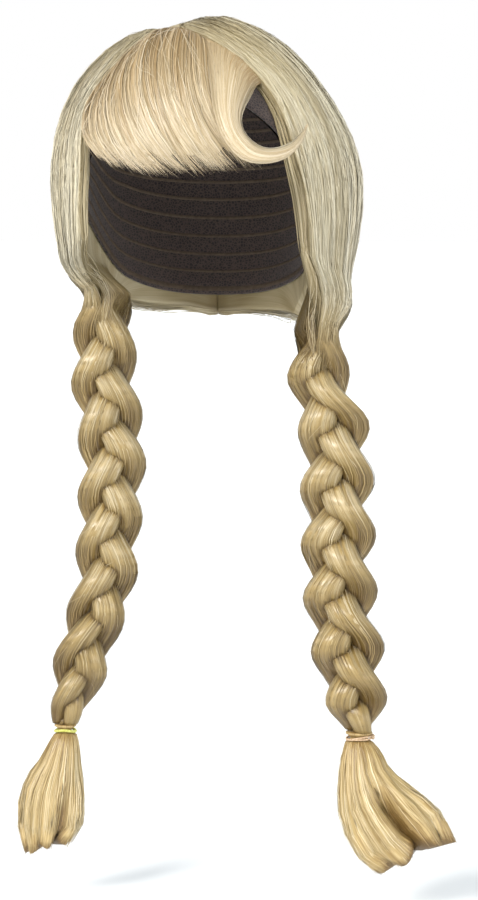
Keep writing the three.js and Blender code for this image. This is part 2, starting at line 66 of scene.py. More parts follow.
# Directions that each half flows through on its way down, from its front edge round to the nape
flowAt = [0, 0.25, 0.5, 0.75, 1]
flowRows = {
    "right": {
        "crown": [(0.2, -0.47, 0.86), (0.32, -0.12, 0.94), (0.36, 0.45, 0.82), (0.34, 0.88, 0.26),
                  (0.25, 0.77, -0.6)],
        "temple": [(0.61, -0.56, 0.55), (0.8, -0.2, 0.56), (0.8, 0.33, 0.5), (0.68, 0.7, 0.18),
                   (0.46, 0.67, -0.6)],
        "ear": [(0.79, -0.6, 0.08), (0.97, -0.22, 0.08), (0.97, 0.24, 0), (0.85, 0.53, -0.14),
                (0.6, 0.55, -0.6)],
        "neck": [(0.87, -0.42, -0.3), (0.94, -0.12, -0.35), (0.92, 0.16, -0.4), (0.84, 0.36, -0.44),
                 (0.7, 0.4, -0.6)],
    },
    "left": {
        "crown": [(-0.5, -0.4, 0.77), (-0.6, 0.02, 0.8), (-0.56, 0.45, 0.7), (-0.42, 0.86, 0.24),
                  (-0.25, 0.78, -0.58)],
        "temple": [(-0.76, -0.42, 0.48), (-0.87, -0.12, 0.48), (-0.85, 0.33, 0.4), (-0.72, 0.67, 0.16),
                   (-0.47, 0.68, -0.57)],
        "ear": [(-0.79, -0.6, 0.06), (-0.96, -0.24, 0.06), (-0.97, 0.22, 0), (-0.87, 0.49, -0.1),
                (-0.63, 0.55, -0.55)],
        "neck": [(-0.82, -0.5, -0.24), (-0.95, -0.16, -0.27), (-0.94, 0.14, -0.32), (-0.87, 0.34, -0.36),
                 (-0.74, 0.42, -0.53)],
    },
}

# Each side: hair heights, its painted light and the tone of the painted shade inside its gathered end, the
# braid's root, bow and thickness, and its elastic
sides = {
    "right": {
        "sign": 1, "crown": 12.5, "temple": 15.5, "ear": 25.5, "neck": 24, "paintedLight": 0, "inside": 0.16,
        "rootOut": 74, "rootDrop": 189, "braidLength": 265, "girth": 1, "strandTurn": 26,
        "bowDown": [0, 0.12, 0.22, 0.35, 0.65, 0.8, 1],
        "bowOut": [0, 0, 0.032, 0.044, 0.053, 0.073, 0.104],
        "thickDown": [0, 0.12, 0.24, 0.82, 0.93, 1],
        "thickShare": [0.66, 0.88, 1, 1.02, 0.86, 0.44],
        "bandHalfWidth": 9, "bandHalfDepth": 7.5, "tailLength": 76,
    },
    "left": {
        "sign": -1, "crown": 15.5, "temple": 18.5, "ear": 18, "neck": 17, "paintedLight": 0.07, "inside": 0.36,
        "rootOut": 67, "rootDrop": 166, "braidLength": 288, "girth": 0.94, "strandTurn": 74,
        "bowDown": [0, 0.19, 0.35, 0.52, 0.68, 0.8, 0.91, 1],
        "bowOut": [0, 0.003, -0.014, -0.007, 0.007, 0.045, 0.073, 0.1],
        "thickDown": [0, 0.07, 0.3, 0.6, 0.86, 0.94, 1],
        "thickShare": [0.68, 0.9, 1, 0.95, 0.87, 0.68, 0.4],
        "bandHalfWidth": 7.4, "bandHalfDepth": 6.6, "tailLength": 75,
    },
}


def through(knots, values, place):
    # Smooth curve through a table's rows, at a grid of places. Each row may hold a point for every place.
    knots, values, place = np.asarray(knots, float), np.asarray(values, float), np.asarray(place, float)
    grid, place = place.shape, place.ravel()
    if values.ndim > 1:
        values = values.reshape(len(knots), -1, 3)
    here = np.clip(np.searchsorted(knots, place) - 1, 0, len(knots) - 2)
    before = np.maximum(here - 1, 0)
    after = np.minimum(here + 2, len(knots) - 1)
    own = np.arange(len(place))

    def row(index):
        return values[index] if values.ndim == 1 else values[index, own]

    def wide(number):
        return number if values.ndim == 1 else number[:, None]

    span = knots[here + 1] - knots[here]
    share = wide(np.clip((place - knots[here]) / span, 0, 1))
    start, end = row(here), row(here + 1)
    slopeIn = (end - row(before)) / wide((knots[here + 1] - knots[before]) / span)
    slopeOut = (row(after) - start) / wide((knots[after] - knots[here]) / span)
    square, cube = share ** 2, share ** 3
    curve = (start * (2 * cube - 3 * square + 1) + slopeIn * (cube - 2 * square + share)
             + end * (3 * square - 2 * cube) + slopeOut * (cube - square))
    return curve.reshape(grid + values.shape[2:])


def smooth(value):
    value = np.clip(value, 0, 1)
    return value * value * (3 - 2 * value)


def mix(a, b, share):
    return a + (b - a) * share


def unit(vectors):
    return vectors / np.maximum(np.linalg.norm(vectors, axis=-1, keepdims=True), 1e-9)


def onHollow(direction, lift):
    # Points on the hollow's surface, lifted off it
    way = unit(direction)
    reach = np.where(way[..., 2] > 0, hollow["rise"], hollow["drop"])
    return np.stack([
        (hollow["halfWidth"] + lift) * way[..., 0],
        (hollow["halfLength"] + lift) * way[..., 1],
        (reach + lift) * way[..., 2] - hollow["rise"],
    ], -1)


def clearOfHollow(points, lift):
    # Points moved sideways out of the hollow's surface, if they are inside it
    x, y, rise = points[..., 0], points[..., 1], points[..., 2] + hollow["rise"]
    level = rise / (np.where(rise > 0, hollow["rise"], hollow["drop"]) + lift)
    inside = np.hypot(x / (hollow["halfWidth"] + lift), y / (hollow["halfLength"] + lift))
    edge = np.sqrt(np.clip(1 - level ** 2, 0, 1))
    grow = np.where(inside < edge, edge / np.maximum(inside, 1e-6), 1)
    return np.stack([x * grow, y * grow, points[..., 2]], -1)


def ripple(across, along, seed, counts, wander=0.35):
    # Soft uneven grooves that run along the hair, from -1 to 1
    draw = np.random.default_rng(seed)
    total = np.zeros(np.broadcast(across, along).shape)
    for count in counts:
        phase, turn, pace = draw.random(), draw.random(), draw.uniform(0.5, 1.6)
        drift = wander * np.sin(fullTurn * (along * pace + turn))
        total = total + np.sin(fullTurn * (across * count + phase + drift))
    return total / math.sqrt(len(counts))


def evenPlaces(draw, count):
    # Places from 0 to 1 in even order, each moved a little
    return (np.arange(count)[:, None] + draw.random((count, 1))) / count


# Mesh makers

def makeMesh(name, points, faces, uv, tone, material, warm=None):
    # A mesh with a flow map on its corners, and a tone and warmth on its points
    mesh = bpy.data.meshes.new(name)
    count, corners = faces.shape
    mesh.vertices.add(len(points))
    mesh.vertices.foreach_set("co", (points * metres).astype(np.float32).ravel())
    mesh.loops.add(count * corners)
    mesh.loops.foreach_set("vertex_index", faces.astype(np.int32).ravel())
    mesh.polygons.add(count)
    mesh.polygons.foreach_set("loop_start", np.arange(0, count * corners, corners, dtype=np.int32))
    mesh.update(calc_edges=True)
    mesh.uv_layers.new(name="flow").data.foreach_set("uv", uv.astype(np.float32).ravel())
    for label, values in (("tone", tone), ("warm", warm)):
        if values is not None:
            layer = mesh.attributes.new(label, "FLOAT", "POINT")
            layer.data.foreach_set("value", values.astype(np.float32).ravel())
    mesh.polygons.foreach_set("use_smooth", np.ones(count, bool))
    mesh.materials.append(material)
    mesh.validate()
    piece = bpy.data.objects.new(name, mesh)
    bpy.context.scene.collection.objects.link(piece)
    return piece


def faceOut(piece):
    # Turns every face of a closed piece outwards
    bpy.ops.object.select_all(action="DESELECT")
    bpy.context.view_layer.objects.active = piece
    piece.select_set(True)
    bpy.ops.object.mode_set(mode="EDIT")
    bpy.ops.mesh.select_all(action="SELECT")
    bpy.ops.mesh.normals_make_consistent(inside=False)
    bpy.ops.object.mode_set(mode="OBJECT")
    piece.select_set(False)


def tubeGrid(steps, corners):
    # Places along and round a tube
    return np.meshgrid(np.linspace(0, 1, steps + 1), np.arange(corners) / corners * fullTurn, indexing="ij")


# The closed ends of a tube narrow, and their tone is darker there: painted shade
tubeEnd = {"narrowing": 0.35, "endPaintedShade": 0.25}


def loftPiece(name, rings, tone, material, flow, wall=False, warm=None):
    # A closed body through rings of points: a tube, or a wall whose rings go out along one face and back
    # along the other. Flow gives the map's sizes round and along, in millimetres.
    steps, corners = rings.shape[:2]
    last = (steps - 1) * corners
    ring, corner = np.meshgrid(np.arange(steps - 1), np.arange(corners), indexing="ij")
    near, far = ring * corners, (ring + 1) * corners
    following = (corner + 1) % corners
    quads = np.stack([near + corner, near + following, far + following, far + corner], -1).reshape(-1, 4)
    around = np.stack([corner, corner + 1, corner + 1, corner], -1) / corners * flow[0]
    along = np.stack([ring, ring, ring + 1, ring + 1], -1) / (steps - 1) * flow[1]
    uv = np.stack([around, along], -1).reshape(-1, 4, 2)
    points, tone = rings.reshape(-1, 3), tone.ravel()
    half = np.arange(corners // 2 - 1)
    mirror = corners - 1 - half
    shutFirst = np.stack([half + 1, half, mirror, mirror - 1], -1)
    shutLast = np.stack([half, half + 1, mirror - 1, mirror], -1)
    if wall:
        ends = [shutFirst, last + shutLast]
    else:
        # Each end narrows to a small inner ring, which one strip closes
        first = len(points)
        final = first + corners
        for end in (rings[0], rings[-1]):
            points = np.concatenate([points, mix(end.mean(0), end, tubeEnd["narrowing"])])
        tone = np.concatenate([tone, tone[:corners] - tubeEnd["endPaintedShade"], tone[last:] - tubeEnd["endPaintedShade"]])
        side = np.arange(corners)
        following = (side + 1) % corners
        ends = [np.stack([following, side, first + side, first + following], -1),
                np.stack([last + side, last + following, final + following, final + side], -1),
                first + shutFirst, final + shutLast]
    ends = np.concatenate(ends)
    endUv = np.zeros((len(ends), 4, 2))
    endUv[:, :, 0] = ends % corners / corners * flow[0]
    piece = makeMesh(name, points, np.concatenate([quads, ends]), np.concatenate([uv, endUv]), tone, material,
                     warm)
    faceOut(piece)
    return piece


# A fibre narrows to both ends, and shades mostly like the hair that it lies on, tipped a little its own way
fibreForm = {
    "rootFade": 0.08, "tipFade": 0.2, "flat": 0.4, "turn": 0.7, "mapSpread": 900, "mapStep": 0.4,
    "roundness": 0.4, "nod": 0.13,
}


def fibrePiece(name, paths, outward, width, tone, material, seed, thickness=None, tip=0.15, warm=None):
    # Many closed three-sided fibres as one mesh. Paths and outward are (fibres, steps, 3).
    form = fibreForm
    draw = np.random.default_rng(seed)
    fibres, steps = paths.shape[:2]
    along = unit(np.gradient(paths, axis=1))
    aside = unit(np.cross(along, outward))
    up = np.cross(aside, along)
    share = np.linspace(0, 1, steps)[None, :]
    taper = mix(tip, 1, np.minimum(smooth(share / form["rootFade"]), smooth((1 - share) / form["tipFade"])))
    thickness = width * form["flat"] if thickness is None else thickness
    wide, thick = (width / 2 * taper)[..., None, None], (thickness / 2 * taper)[..., None, None]
    turn = draw.random((fibres, 1, 1, 1)) * form["turn"] + np.radians([90, 210, 330])[:, None]
    rings = (paths[:, :, None] + aside[:, :, None] * wide * np.cos(turn)
             + up[:, :, None] * thick * np.sin(turn))
    side = np.arange(3)
    following = (side + 1) % 3
    base = np.arange(fibres)[:, None, None] * steps * 3
    near = base + np.arange(steps - 1)[:, None] * 3
    far = near + 3
    quads = np.stack([near + side, far + side, far + following, near + following], -1).reshape(-1, 4)
    first, final = base[:, 0] + side, base[:, 0] + (steps - 1) * 3 + side[::-1]
    triangles = np.concatenate([quads[:, [0, 1, 2]], quads[:, [0, 2, 3]], first, final])
    length = np.linalg.norm(np.diff(paths, axis=1), axis=-1).sum(1)[:, None, None]
    around, down = np.broadcast_arrays(
        draw.random((fibres, 1, 1)) * form["mapSpread"] + side * form["mapStep"], length * share[..., None])
    uv = np.stack([around.ravel()[triangles], down.ravel()[triangles]], -1)

    def onPoints(values):
        return np.repeat(np.broadcast_to(values, (fibres, steps)).ravel(), 3)

    piece = makeMesh(name, rings.reshape(-1, 3), triangles, uv, onPoints(tone), material,
                     None if warm is None else onPoints(warm))
    nod = draw.normal(0, form["nod"], (fibres, 1, 1, 1)) * along[:, :, None]
    normals = unit(outward[:, :, None] + aside[:, :, None] * form["roundness"] * np.cos(turn) + nod)
    piece.data.normals_split_custom_set_from_vertices(normals.reshape(-1, 3).tolist())
    return piece


def seat(piece, slot, *nodes):
    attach(piece, "root")
    if nodes:
        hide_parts(*nodes)


# Materials

def newMaterial(name, roughness):
    material = bpy.data.materials.new(name)
    material.use_nodes = True
    nodes, links = material.node_tree.nodes, material.node_tree.links
    shader = nodes["Principled BSDF"]
    shader.inputs["Roughness"].default_value = roughness
    return material, nodes, links, shader


def addNoise(nodes, links, place, scale, detail):
    noise = nodes.new("ShaderNodeTexNoise")
    noise.inputs["Scale"].default_value = scale
    noise.inputs["Detail"].default_value = detail
    links.new(place, noise.inputs["Vector"])
    return noise.outputs["Fac"]


def addRamp(nodes, links, source, *stops):
    # A colour ramp through pairs of place and colour
    ramp = nodes.new("ShaderNodeValToRGB")
    elements = ramp.color_ramp.elements
    for element, (place, colour) in ((elements[0], stops[0]), (elements[1], stops[-1])):
        element.position = place
        element.color = (*colour, 1)
    for place, colour in stops[1:-1]:
        elements.new(place).color = (*colour, 1)
    links.new(source, ramp.inputs["Fac"])
    return ramp.outputs["Color"]


def addBump(nodes, links, height, shader, strength, depth):
    bump = nodes.new("ShaderNodeBump")
    bump.inputs["Strength"].default_value = strength
    bump.inputs["Distance"].default_value = depth * metres
    links.new(height, bump.inputs["Height"])
    links.new(bump.outputs["Normal"], shader.inputs["Normal"])
    return bump


# Fine, middling and broad streaks along the hair, each as the map's scale and the noise's detail
hairLook = {
    "streaks": [((2.1, 0.010, 1), 3), ((0.55, 0.006, 1), 2), ((0.13, 0.004, 1), 1)],
    "roughness": 0.34, "specular": 0.6, "stretch": 0.6, "reliefStrength": 0.45, "relief": 0.3,
    "deepest": 0.55, "darkAt": 0.25, "middleAt": 0.55, "lightAt": 0.95,
}


def hairMaterial(name, colours, warmer=None, shares=(0.3, 0.26, 0.3)):
    # The tone attribute carries painted shade, painted highlight and lock-to-lock colour, shares say how
    # strongly the streaks show, and the warm attribute leads over to a second set of colours
    look = hairLook
    material, nodes, links, shader = newMaterial(name, look["roughness"])
    flow = nodes.new("ShaderNodeUVMap")
    flow.uv_map = "flow"
    shade = nodes.new("ShaderNodeAttribute")
    shade.attribute_name = "tone"
    total = shade.outputs["Fac"]
    streaks = []
    for (scale, detail), amount in zip(look["streaks"], shares):
        place = nodes.new("ShaderNodeMapping")
        place.inputs["Scale"].default_value = scale
        links.new(flow.outputs["UV"], place.inputs["Vector"])
        streaks.append(addNoise(nodes, links, place.outputs["Vector"], 1, detail))
        added = nodes.new("ShaderNodeMath")
        added.operation = "MULTIPLY_ADD"
        added.inputs[1].default_value = amount
        links.new(streaks[-1], added.inputs[0])
        links.new(total, added.inputs[2])
        total = added.outputs[0]
    centred = nodes.new("ShaderNodeMath")
    centred.operation = "SUBTRACT"
    centred.inputs[1].default_value = sum(shares) / 2
    links.new(total, centred.inputs[0])
    shades = []
    for dark, middle, light in ([colours, warmer] if warmer else [colours]):
        deepest = [channel * look["deepest"] for channel in dark]
        shades.append(addRamp(nodes, links, centred.outputs[0], (0, deepest), (look["darkAt"], dark),
                              (look["middleAt"], middle), (look["lightAt"], light)))
    if warmer:
        warm = nodes.new("ShaderNodeAttribute")
        warm.attribute_name = "warm"
        blend = nodes.new("ShaderNodeMix")
        blend.data_type = "RGBA"
        links.new(warm.outputs["Fac"], blend.inputs["Factor"])
        links.new(shades[0], blend.inputs["A"])
        links.new(shades[1], blend.inputs["B"])
        shades = [blend.outputs["Result"]]
    links.new(shades[0], shader.inputs["Base Color"])
    addBump(nodes, links, streaks[0], shader, look["reliefStrength"], look["relief"])
    across = nodes.new("ShaderNodeTangent")
    across.direction_type = "UV_MAP"
    across.uv_map = "flow"
    links.new(across.outputs["Tangent"], shader.inputs["Tangent"])
    shader.inputs["Anisotropic"].default_value = look["stretch"]
    shader.inputs["Specular IOR Level"].default_value = look["specular"]
    return material


# Dark, middle and light of each colour of hair
shadeSets = {
    "blonde": ((0.27, 0.205, 0.095), (0.49, 0.41, 0.25), (0.82, 0.76, 0.59)),
    "braid": ((0.12, 0.070, 0.016), (0.325, 0.229, 0.086), (0.80, 0.69, 0.475)),
    "pale": ((0.31, 0.205, 0.09), (0.53, 0.415, 0.25), (0.80, 0.71, 0.54)),
    "golden": ((0.20, 0.115, 0.03), (0.49, 0.355, 0.15), (0.86, 0.74, 0.49)),
}
finishes = {
    "blonde": hairMaterial("blondeHair", shadeSets["blonde"], shadeSets["braid"]),
    "braid": hairMaterial("braidedHair", shadeSets["braid"], shares=(0.45, 0.24, 0.16)),
    "pale": hairMaterial("paleHair", shadeSets["pale"], shares=(0.3, 0.36, 0.26)),
    "golden": hairMaterial("goldenHair", shadeSets["golden"], shares=(0.8, 0.55, 0.22)),
}


def netMaterial():
    # Dark open-weave net: a fine mesh of cells in colour and relief
    material, nodes, links, shader = newMaterial("capNet", 0.78)
    place = nodes.new("ShaderNodeTexCoord")
    cells = nodes.new("ShaderNodeTexVoronoi")
    cells.feature = "DISTANCE_TO_EDGE"
    cells.inputs["Scale"].default_value = 520
    links.new(place.outputs["Object"], cells.inputs["Vector"])
    colour = addRamp(nodes, links, cells.outputs["Distance"], (0.02, (0.075, 0.05, 0.042)),
                     (0.22, (0.018, 0.012, 0.012)))
    links.new(colour, shader.inputs["Base Color"])
    addBump(nodes, links, cells.outputs["Distance"], shader, 0.6, 0.4).invert = True
    shader.inputs["Sheen Weight"].default_value = 0.25
    return material


def grainMaterial(name, roughness, scale, detail, dark, light, relief=0):
    # Plain woven stuff with a fine grain, from pairs of place and colour
    material, nodes, links, shader = newMaterial(name, roughness)
    place = nodes.new("ShaderNodeTexCoord")
    grain = addNoise(nodes, links, place.outputs["Object"], scale, detail)
    links.new(addRamp(nodes, links, grain, dark, light), shader.inputs["Base Color"])
    if relief:
        addBump(nodes, links, grain, shader, relief, 0.2)
    return material


# Camera at the photograph's angle

cameraPlace = {
    "azimuth": 7, "distance": 1.6, "eyeHeight": -0.109, "target": (0.0239, 0.0029, -0.2667),
    "frameHeight": 0.585, "sensor": 36,
}


def placeCamera():
    turn = math.radians(cameraPlace["azimuth"])
    target = Vector(cameraPlace["target"])
    spot = target - Vector((-math.sin(turn), math.cos(turn), 0)) * cameraPlace["distance"]
    spot.z = cameraPlace["eyeHeight"]
    data = bpy.data.cameras.new("camera")
    data.sensor_width = cameraPlace["sensor"]
    data.lens = data.sensor_width * (target - spot).length / cameraPlace["frameHeight"]
    camera = bpy.data.objects.new("camera", data)
    camera.location = spot
    camera.rotation_euler = (target - spot).to_track_quat("-Z", "Y").to_euler()
    bpy.context.scene.collection.objects.link(camera)
    bpy.context.scene.camera = camera


placeCamera()
print("camera placed")

# Long hair of each half. Across runs from the front edge to the nape, and run from the parting to the
# braid's root at 1. The painted shade tables give how dark the grooves between the ribs are, the length of
# the painted dark at the roots, and the painted shade's fall towards the braid.

longHair = {
    "partingHeight": 7, "crownRise": 0.8, "seam": 0.1, "frontEdge": 0.57, "edgeHeight": 0.44,
    "edgeWidth": (0.26, 0.24), "rootLength": 0.15, "ribDepth": 1.5, "ribCount": 7, "fineDepth": 0.55,
    "gatherStart": 0.74, "billow": 6, "easeHeight": 34, "sleeve": 0.11, "sleeveTaper": 7,
    "columns": 112, "rings": 58, "perimeter": 380, "length": 320,
    # The body's inside face is darker, as painted shade
    "bodySunk": 0.55, "bodyTone": 0.36, "insidePaintedShade": 0.14,
    "bodyPaintedShade": {"rib": 0.12, "root": 0.08, "dark": 0.18, "darkFrom": 0.84, "darkOver": 0.16},
    "fibres": 1380, "fibreSteps": 17, "fibreWidth": (0.45, 1.1), "fibreFlat": 0.2, "fibreTone": (0.41, 0.055),
    "fibrePaintedShade": {"rib": 0.07, "root": 0.07, "dark": 0.2, "darkFrom": 0.85, "darkOver": 0.2},
    "edgeFibres": 260, "frontShare": 0.72, "strayShare": 0.12, "edgeTone": (0.42, 0.09),
    "innerFibres": 240, "loops": 14, "loopWidth": 0.3, "loopThickness": 0.22, "loopTone": (0.6, 0.1),
}

# A strand is slim where it crosses the braid's middle and wide where it turns at its side, and the
# braid's outer side is turned a little to the front
braid = {
    "pitch": 110, "forward": 22, "swing": 10.7, "weave": 8.1, "halfDepth": 9.3, "lead": 14,
    "widthMean": 12.4, "widthBeat": 0.9, "yaw": 13, "groove": 0.25, "sunk": 0.15,
    "sides": 32, "rings": 140, "fibres": 84, "fibreSteps": 46, "fibreWidth": (0.3, 0.75), "fibreFlat": 0.24,
    "flyaways": 26, "flyawaySteps": 10, "flyawayWidth": 0.26, "flyawayThickness": 0.2,
    # Painted tones: shade in the creases between strands, a highlight where a strand comes over the front,
    # and shade at the braid's top and low down
    "bodyTone": 0.2, "fibreTone": (0.22, 0.06), "flyawayTone": (0.65, 0.08), "creasePaintedShade": 0.3, "paintedHighlight": 0.13,
    "paintedHighlightLead": 0.65, "topPaintedShade": 0.06, "lowPaintedShade": 0.085,
}


def hairDirection(name, across, along):
    start = [through(parting["at"], parting[axis], across) for axis in "xyz"]
    start[0] = start[0] + sides[name]["sign"] * longHair["seam"] / hollow["halfWidth"]
    stations = [np.stack(start, -1)]
    for station in ("crown", "temple", "ear", "neck"):
        table = np.array(flowRows[name][station], float)
        stations.append(np.stack([through(flowAt, table[:, axis], across) for axis in range(3)], -1))
    return through(flowAt, np.stack(stations), along)


def ribPlace(across, along):
    # Angle of a place among the lock ribs, which bend a little on their way down
    return longHair["ribCount"] * np.pi * (across + 0.012 * np.sin(fullTurn * (along * 0.8 + across * 2)))


def hairHeight(name, across, along):
    # How far the hair stands off the hollow: full in the middle, low at the front and nape edges
    side, size = sides[name], longHair
    low, crown = size["partingHeight"], side["crown"]
    full = through([0, 0.12, 0.25, 0.5, 0.75, 1], [low, mix(low, crown, size["crownRise"]), crown,
                                                   side["temple"], side["ear"], side["neck"]], along)
    frontWidth, napeWidth = size["edgeWidth"]
    edge = 1 - np.minimum(smooth(across / frontWidth), smooth((1 - across) / napeWidth))
    grown = smooth(along / size["rootLength"])
    rib = np.sqrt(np.sin(ribPlace(across, along)) ** 2 + 0.01) - 0.5
    low = full * mix(size["frontEdge"], size["edgeHeight"], smooth(along / 0.5))
    fine = ripple(across, along, 11, (9, 17, 26, 41))
    full = mix(full, mix(full, low, edge), grown)
    return full + (rib * size["ribDepth"] + fine * size["fineDepth"]) * grown


def braidCentre(side, down):
    down = np.asarray(down, float)
    out = side["rootOut"] + through(side["bowDown"], side["bowOut"], down) * side["braidLength"]
    return np.stack([side["sign"] * out, np.full(down.shape, float(braid["forward"])),
                     -side["rootDrop"] - down * side["braidLength"]], -1)


def strandPhase(side, strand, down):
    return (math.radians(side["strandTurn"]) + fullTurn * strand / 3
            + fullTurn * down * side["braidLength"] / braid["pitch"])


def strandOvals(side, down):
    # Middle, half width and half depth of the three strands across the braid, for each place down it
    share = side["girth"] * through(side["thickDown"], side["thickShare"], down)
    lead = math.radians(braid["lead"])
    ovals = []
    for strand in range(3):
        phase = strandPhase(side, strand, down)
        ovals.append((braid["swing"] * share * np.sin(phase),
                      -braid["weave"] * share * np.sin(2 * phase + lead),
                      share * (braid["widthMean"] - braid["widthBeat"] * np.cos(2 * phase)),
                      share * braid["halfDepth"]))
    return ovals


def strandSpot(side, strand, down, turn, lift=0.0):
    # A point on a strand's surface across the braid, the way out there, and how clear it is of the others
    ovals = strandOvals(side, down)
    x, y, wide, deep = ovals[strand]
    out = unit(np.stack([np.cos(turn) / wide, np.sin(turn) / deep], -1))
    spots = np.stack([x + wide * np.cos(turn), y + deep * np.sin(turn)], -1)
    clear = np.full(spots.shape[:-1], np.inf)
    for index, (otherX, otherY, otherWide, otherDeep) in enumerate(ovals):
        if index != strand:
            apart = np.hypot((spots[..., 0] - otherX) / otherWide, (spots[..., 1] - otherY) / otherDeep)
            clear = np.minimum(clear, apart)
    yaw = side["sign"] * math.radians(braid["yaw"])
    turned = np.array([[math.cos(yaw), -math.sin(yaw)], [math.sin(yaw), math.cos(yaw)]])
    return (spots + out * np.asarray(lift)[..., None]) @ turned, out @ turned, clear


# Outline of the three strands together near the braid's root, which the gathered hair closes round
outlineGrid = {"rows": 16, "columns": 120, "reach": 0.16, "samples": 900}


def outlineTable(side):
    # Distances of the outline from the braid's middle, in rows down the braid and columns round it
    rows, columns, reach, samples = outlineGrid.values()
    turn = np.linspace(0, fullTurn, samples, endpoint=False)
    middles = (np.arange(columns) + 0.5) / columns * fullTurn
    table = []
    for down in np.linspace(0, reach, rows + 1):
        farthest = np.zeros(columns)
        for strand in range(3):
            spots, _, _ = strandSpot(side, strand, down, turn)
            index = (np.arctan2(spots[:, 1], spots[:, 0]) / fullTurn % 1 * columns).astype(int) % columns
            np.maximum.at(farthest, index, np.hypot(spots[:, 0], spots[:, 1]))
        filled = farthest > 0
        table.append(np.interp(middles, middles[filled], farthest[filled], period=fullTurn))
    return np.array(table)


def outlineReach(table, angle, down):
    rows, columns, reach, _ = outlineGrid.values()
    row = np.clip(down / reach * rows, 0, rows - 0.001)
    column = angle / fullTurn % 1 * columns - 0.5
    low, left = np.floor(row).astype(int), np.floor(column).astype(int)
    upper = mix(table[low, left % columns], table[low, (left + 1) % columns], column - left)
    lower = mix(table[low + 1, left % columns], table[low + 1, (left + 1) % columns], column - left)
    return mix(upper, lower, row - low)


def hairWall(name, across, run, extra=0.0):
    # Outside of a half's hair, lifted by extra, and its inside. The last stretch closes round the braid's
    # root, and past run 1 it goes on down the braid as a sleeve.
    side, size = sides[name], longHair
    across, run, extra = np.broadcast_arrays(across, run, extra)
    innerLift = hollow["capWall"] + hollow["layClearance"]
    start = size["gatherStart"]
    along = np.minimum(run / start, 1)
    gather = np.clip((run - start) / (1 - start), 0, 1)
    drawn = mix(gather, smooth(gather), 0.5)[..., None]
    direction = hairDirection(name, across, along)
    outer = onHollow(direction, hairHeight(name, across, along) + extra)
    inner = onHollow(direction, innerLift - np.minimum(extra, 0.6) * gather)
    down = np.maximum(run - 1, 0)
    centre = braidCentre(side, down)
    girth = side["girth"] * side["thickShare"][0]
    wide = (braid["swing"] + braid["widthMean"] + braid["widthBeat"]) * girth
    deep = (braid["weave"] + braid["halfDepth"]) * girth
    turn = np.pi * (across - 0.5)
    ends = []
    for face in (1, -1):
        angle = np.arctan2(deep * np.sin(turn), face * side["sign"] * wide * np.cos(turn))
        reach = outlineReach(side["outline"], angle, down) + extra * 0.8 - size["sleeveTaper"] * down
        around = np.stack([np.cos(angle) * reach, np.sin(angle) * reach, np.zeros(run.shape)], -1)
        ends.append(centre + around)
    outer, inner = mix(outer, ends[0], drawn), mix(inner, ends[1], drawn)
    # The outside billows a little on its way down to the braid
    outer = outer + unit(outer * np.array([1, 1, 0])) * size["billow"] * np.sin(np.pi * drawn)
    ease = smooth((inner[..., 2] + side["rootDrop"]) / size["easeHeight"])[..., None]
    outer = mix(outer, clearOfHollow(outer, innerLift + hollow["seamGap"]), ease)
    inner = mix(inner, clearOfHollow(inner, innerLift), ease)
    past = (run > 1)[..., None]
    return np.where(past, ends[0], outer), np.where(past, ends[1], inner)


def hairFacing(name, paths, run, start=0.8, sense=1):
    # Which way is out for hair fibres: off the cap, or with sense -1 into its hollow, and off the braid's
    # middle below the gather
    fromCap = sense * unit(paths - hollowMiddle)
    fromBraid = unit((paths - braidCentre(sides[name], 0)) * np.array([1, 1, 0.02]))
    return unit(mix(fromCap, fromBraid, smooth((run - start) / (1 - start))[..., None]))


def hairTone(name, across, run, seed, middle, shade):
    # Painted shade at the roots by the parting, in the grooves between the ribs and where the hair gathers
    # towards the braid, with the side's painted light added
    tone = middle + shade["rib"] * np.abs(np.sin(ribPlace(across, run))) + sides[name]["paintedLight"]
    tone = tone + 0.05 * ripple(across, run, seed, (5, 13, 23)) + 0.2 * smooth((run - 0.1) / 0.3)
    tone = tone - 0.14 * (1 - smooth(run / shade["root"]))
    return tone - shade["dark"] * smooth((run - shade["darkFrom"]) / shade["darkOver"])


def warmth(run):
    return smooth((run - 0.78) / 0.3)


def makeHairBody(name, seed):
    size = longHair
    run, across = np.meshgrid(np.linspace(0, 1, size["rings"] + 1), np.linspace(0, 1, size["columns"] + 1),
                              indexing="ij")
    outer, inner = hairWall(name, across, run, -size["bodySunk"] * np.minimum(run * size["rings"] / 4, 1))
    tone = hairTone(name, across, run, seed, size["bodyTone"], size["bodyPaintedShade"])
    # Its inner face takes a darker tone: painted shade
    shell = loftPiece(f"hair_{name}_body", np.concatenate([outer, inner[:, ::-1]], 1),
                      np.concatenate([tone, tone - size["insidePaintedShade"]], 1), finishes["blonde"],
                      (2 * size["perimeter"], size["length"]), wall=True, warm=np.tile(warmth(run), 2))
    seat(shell, "blonde_hair", f"hair_{name}")


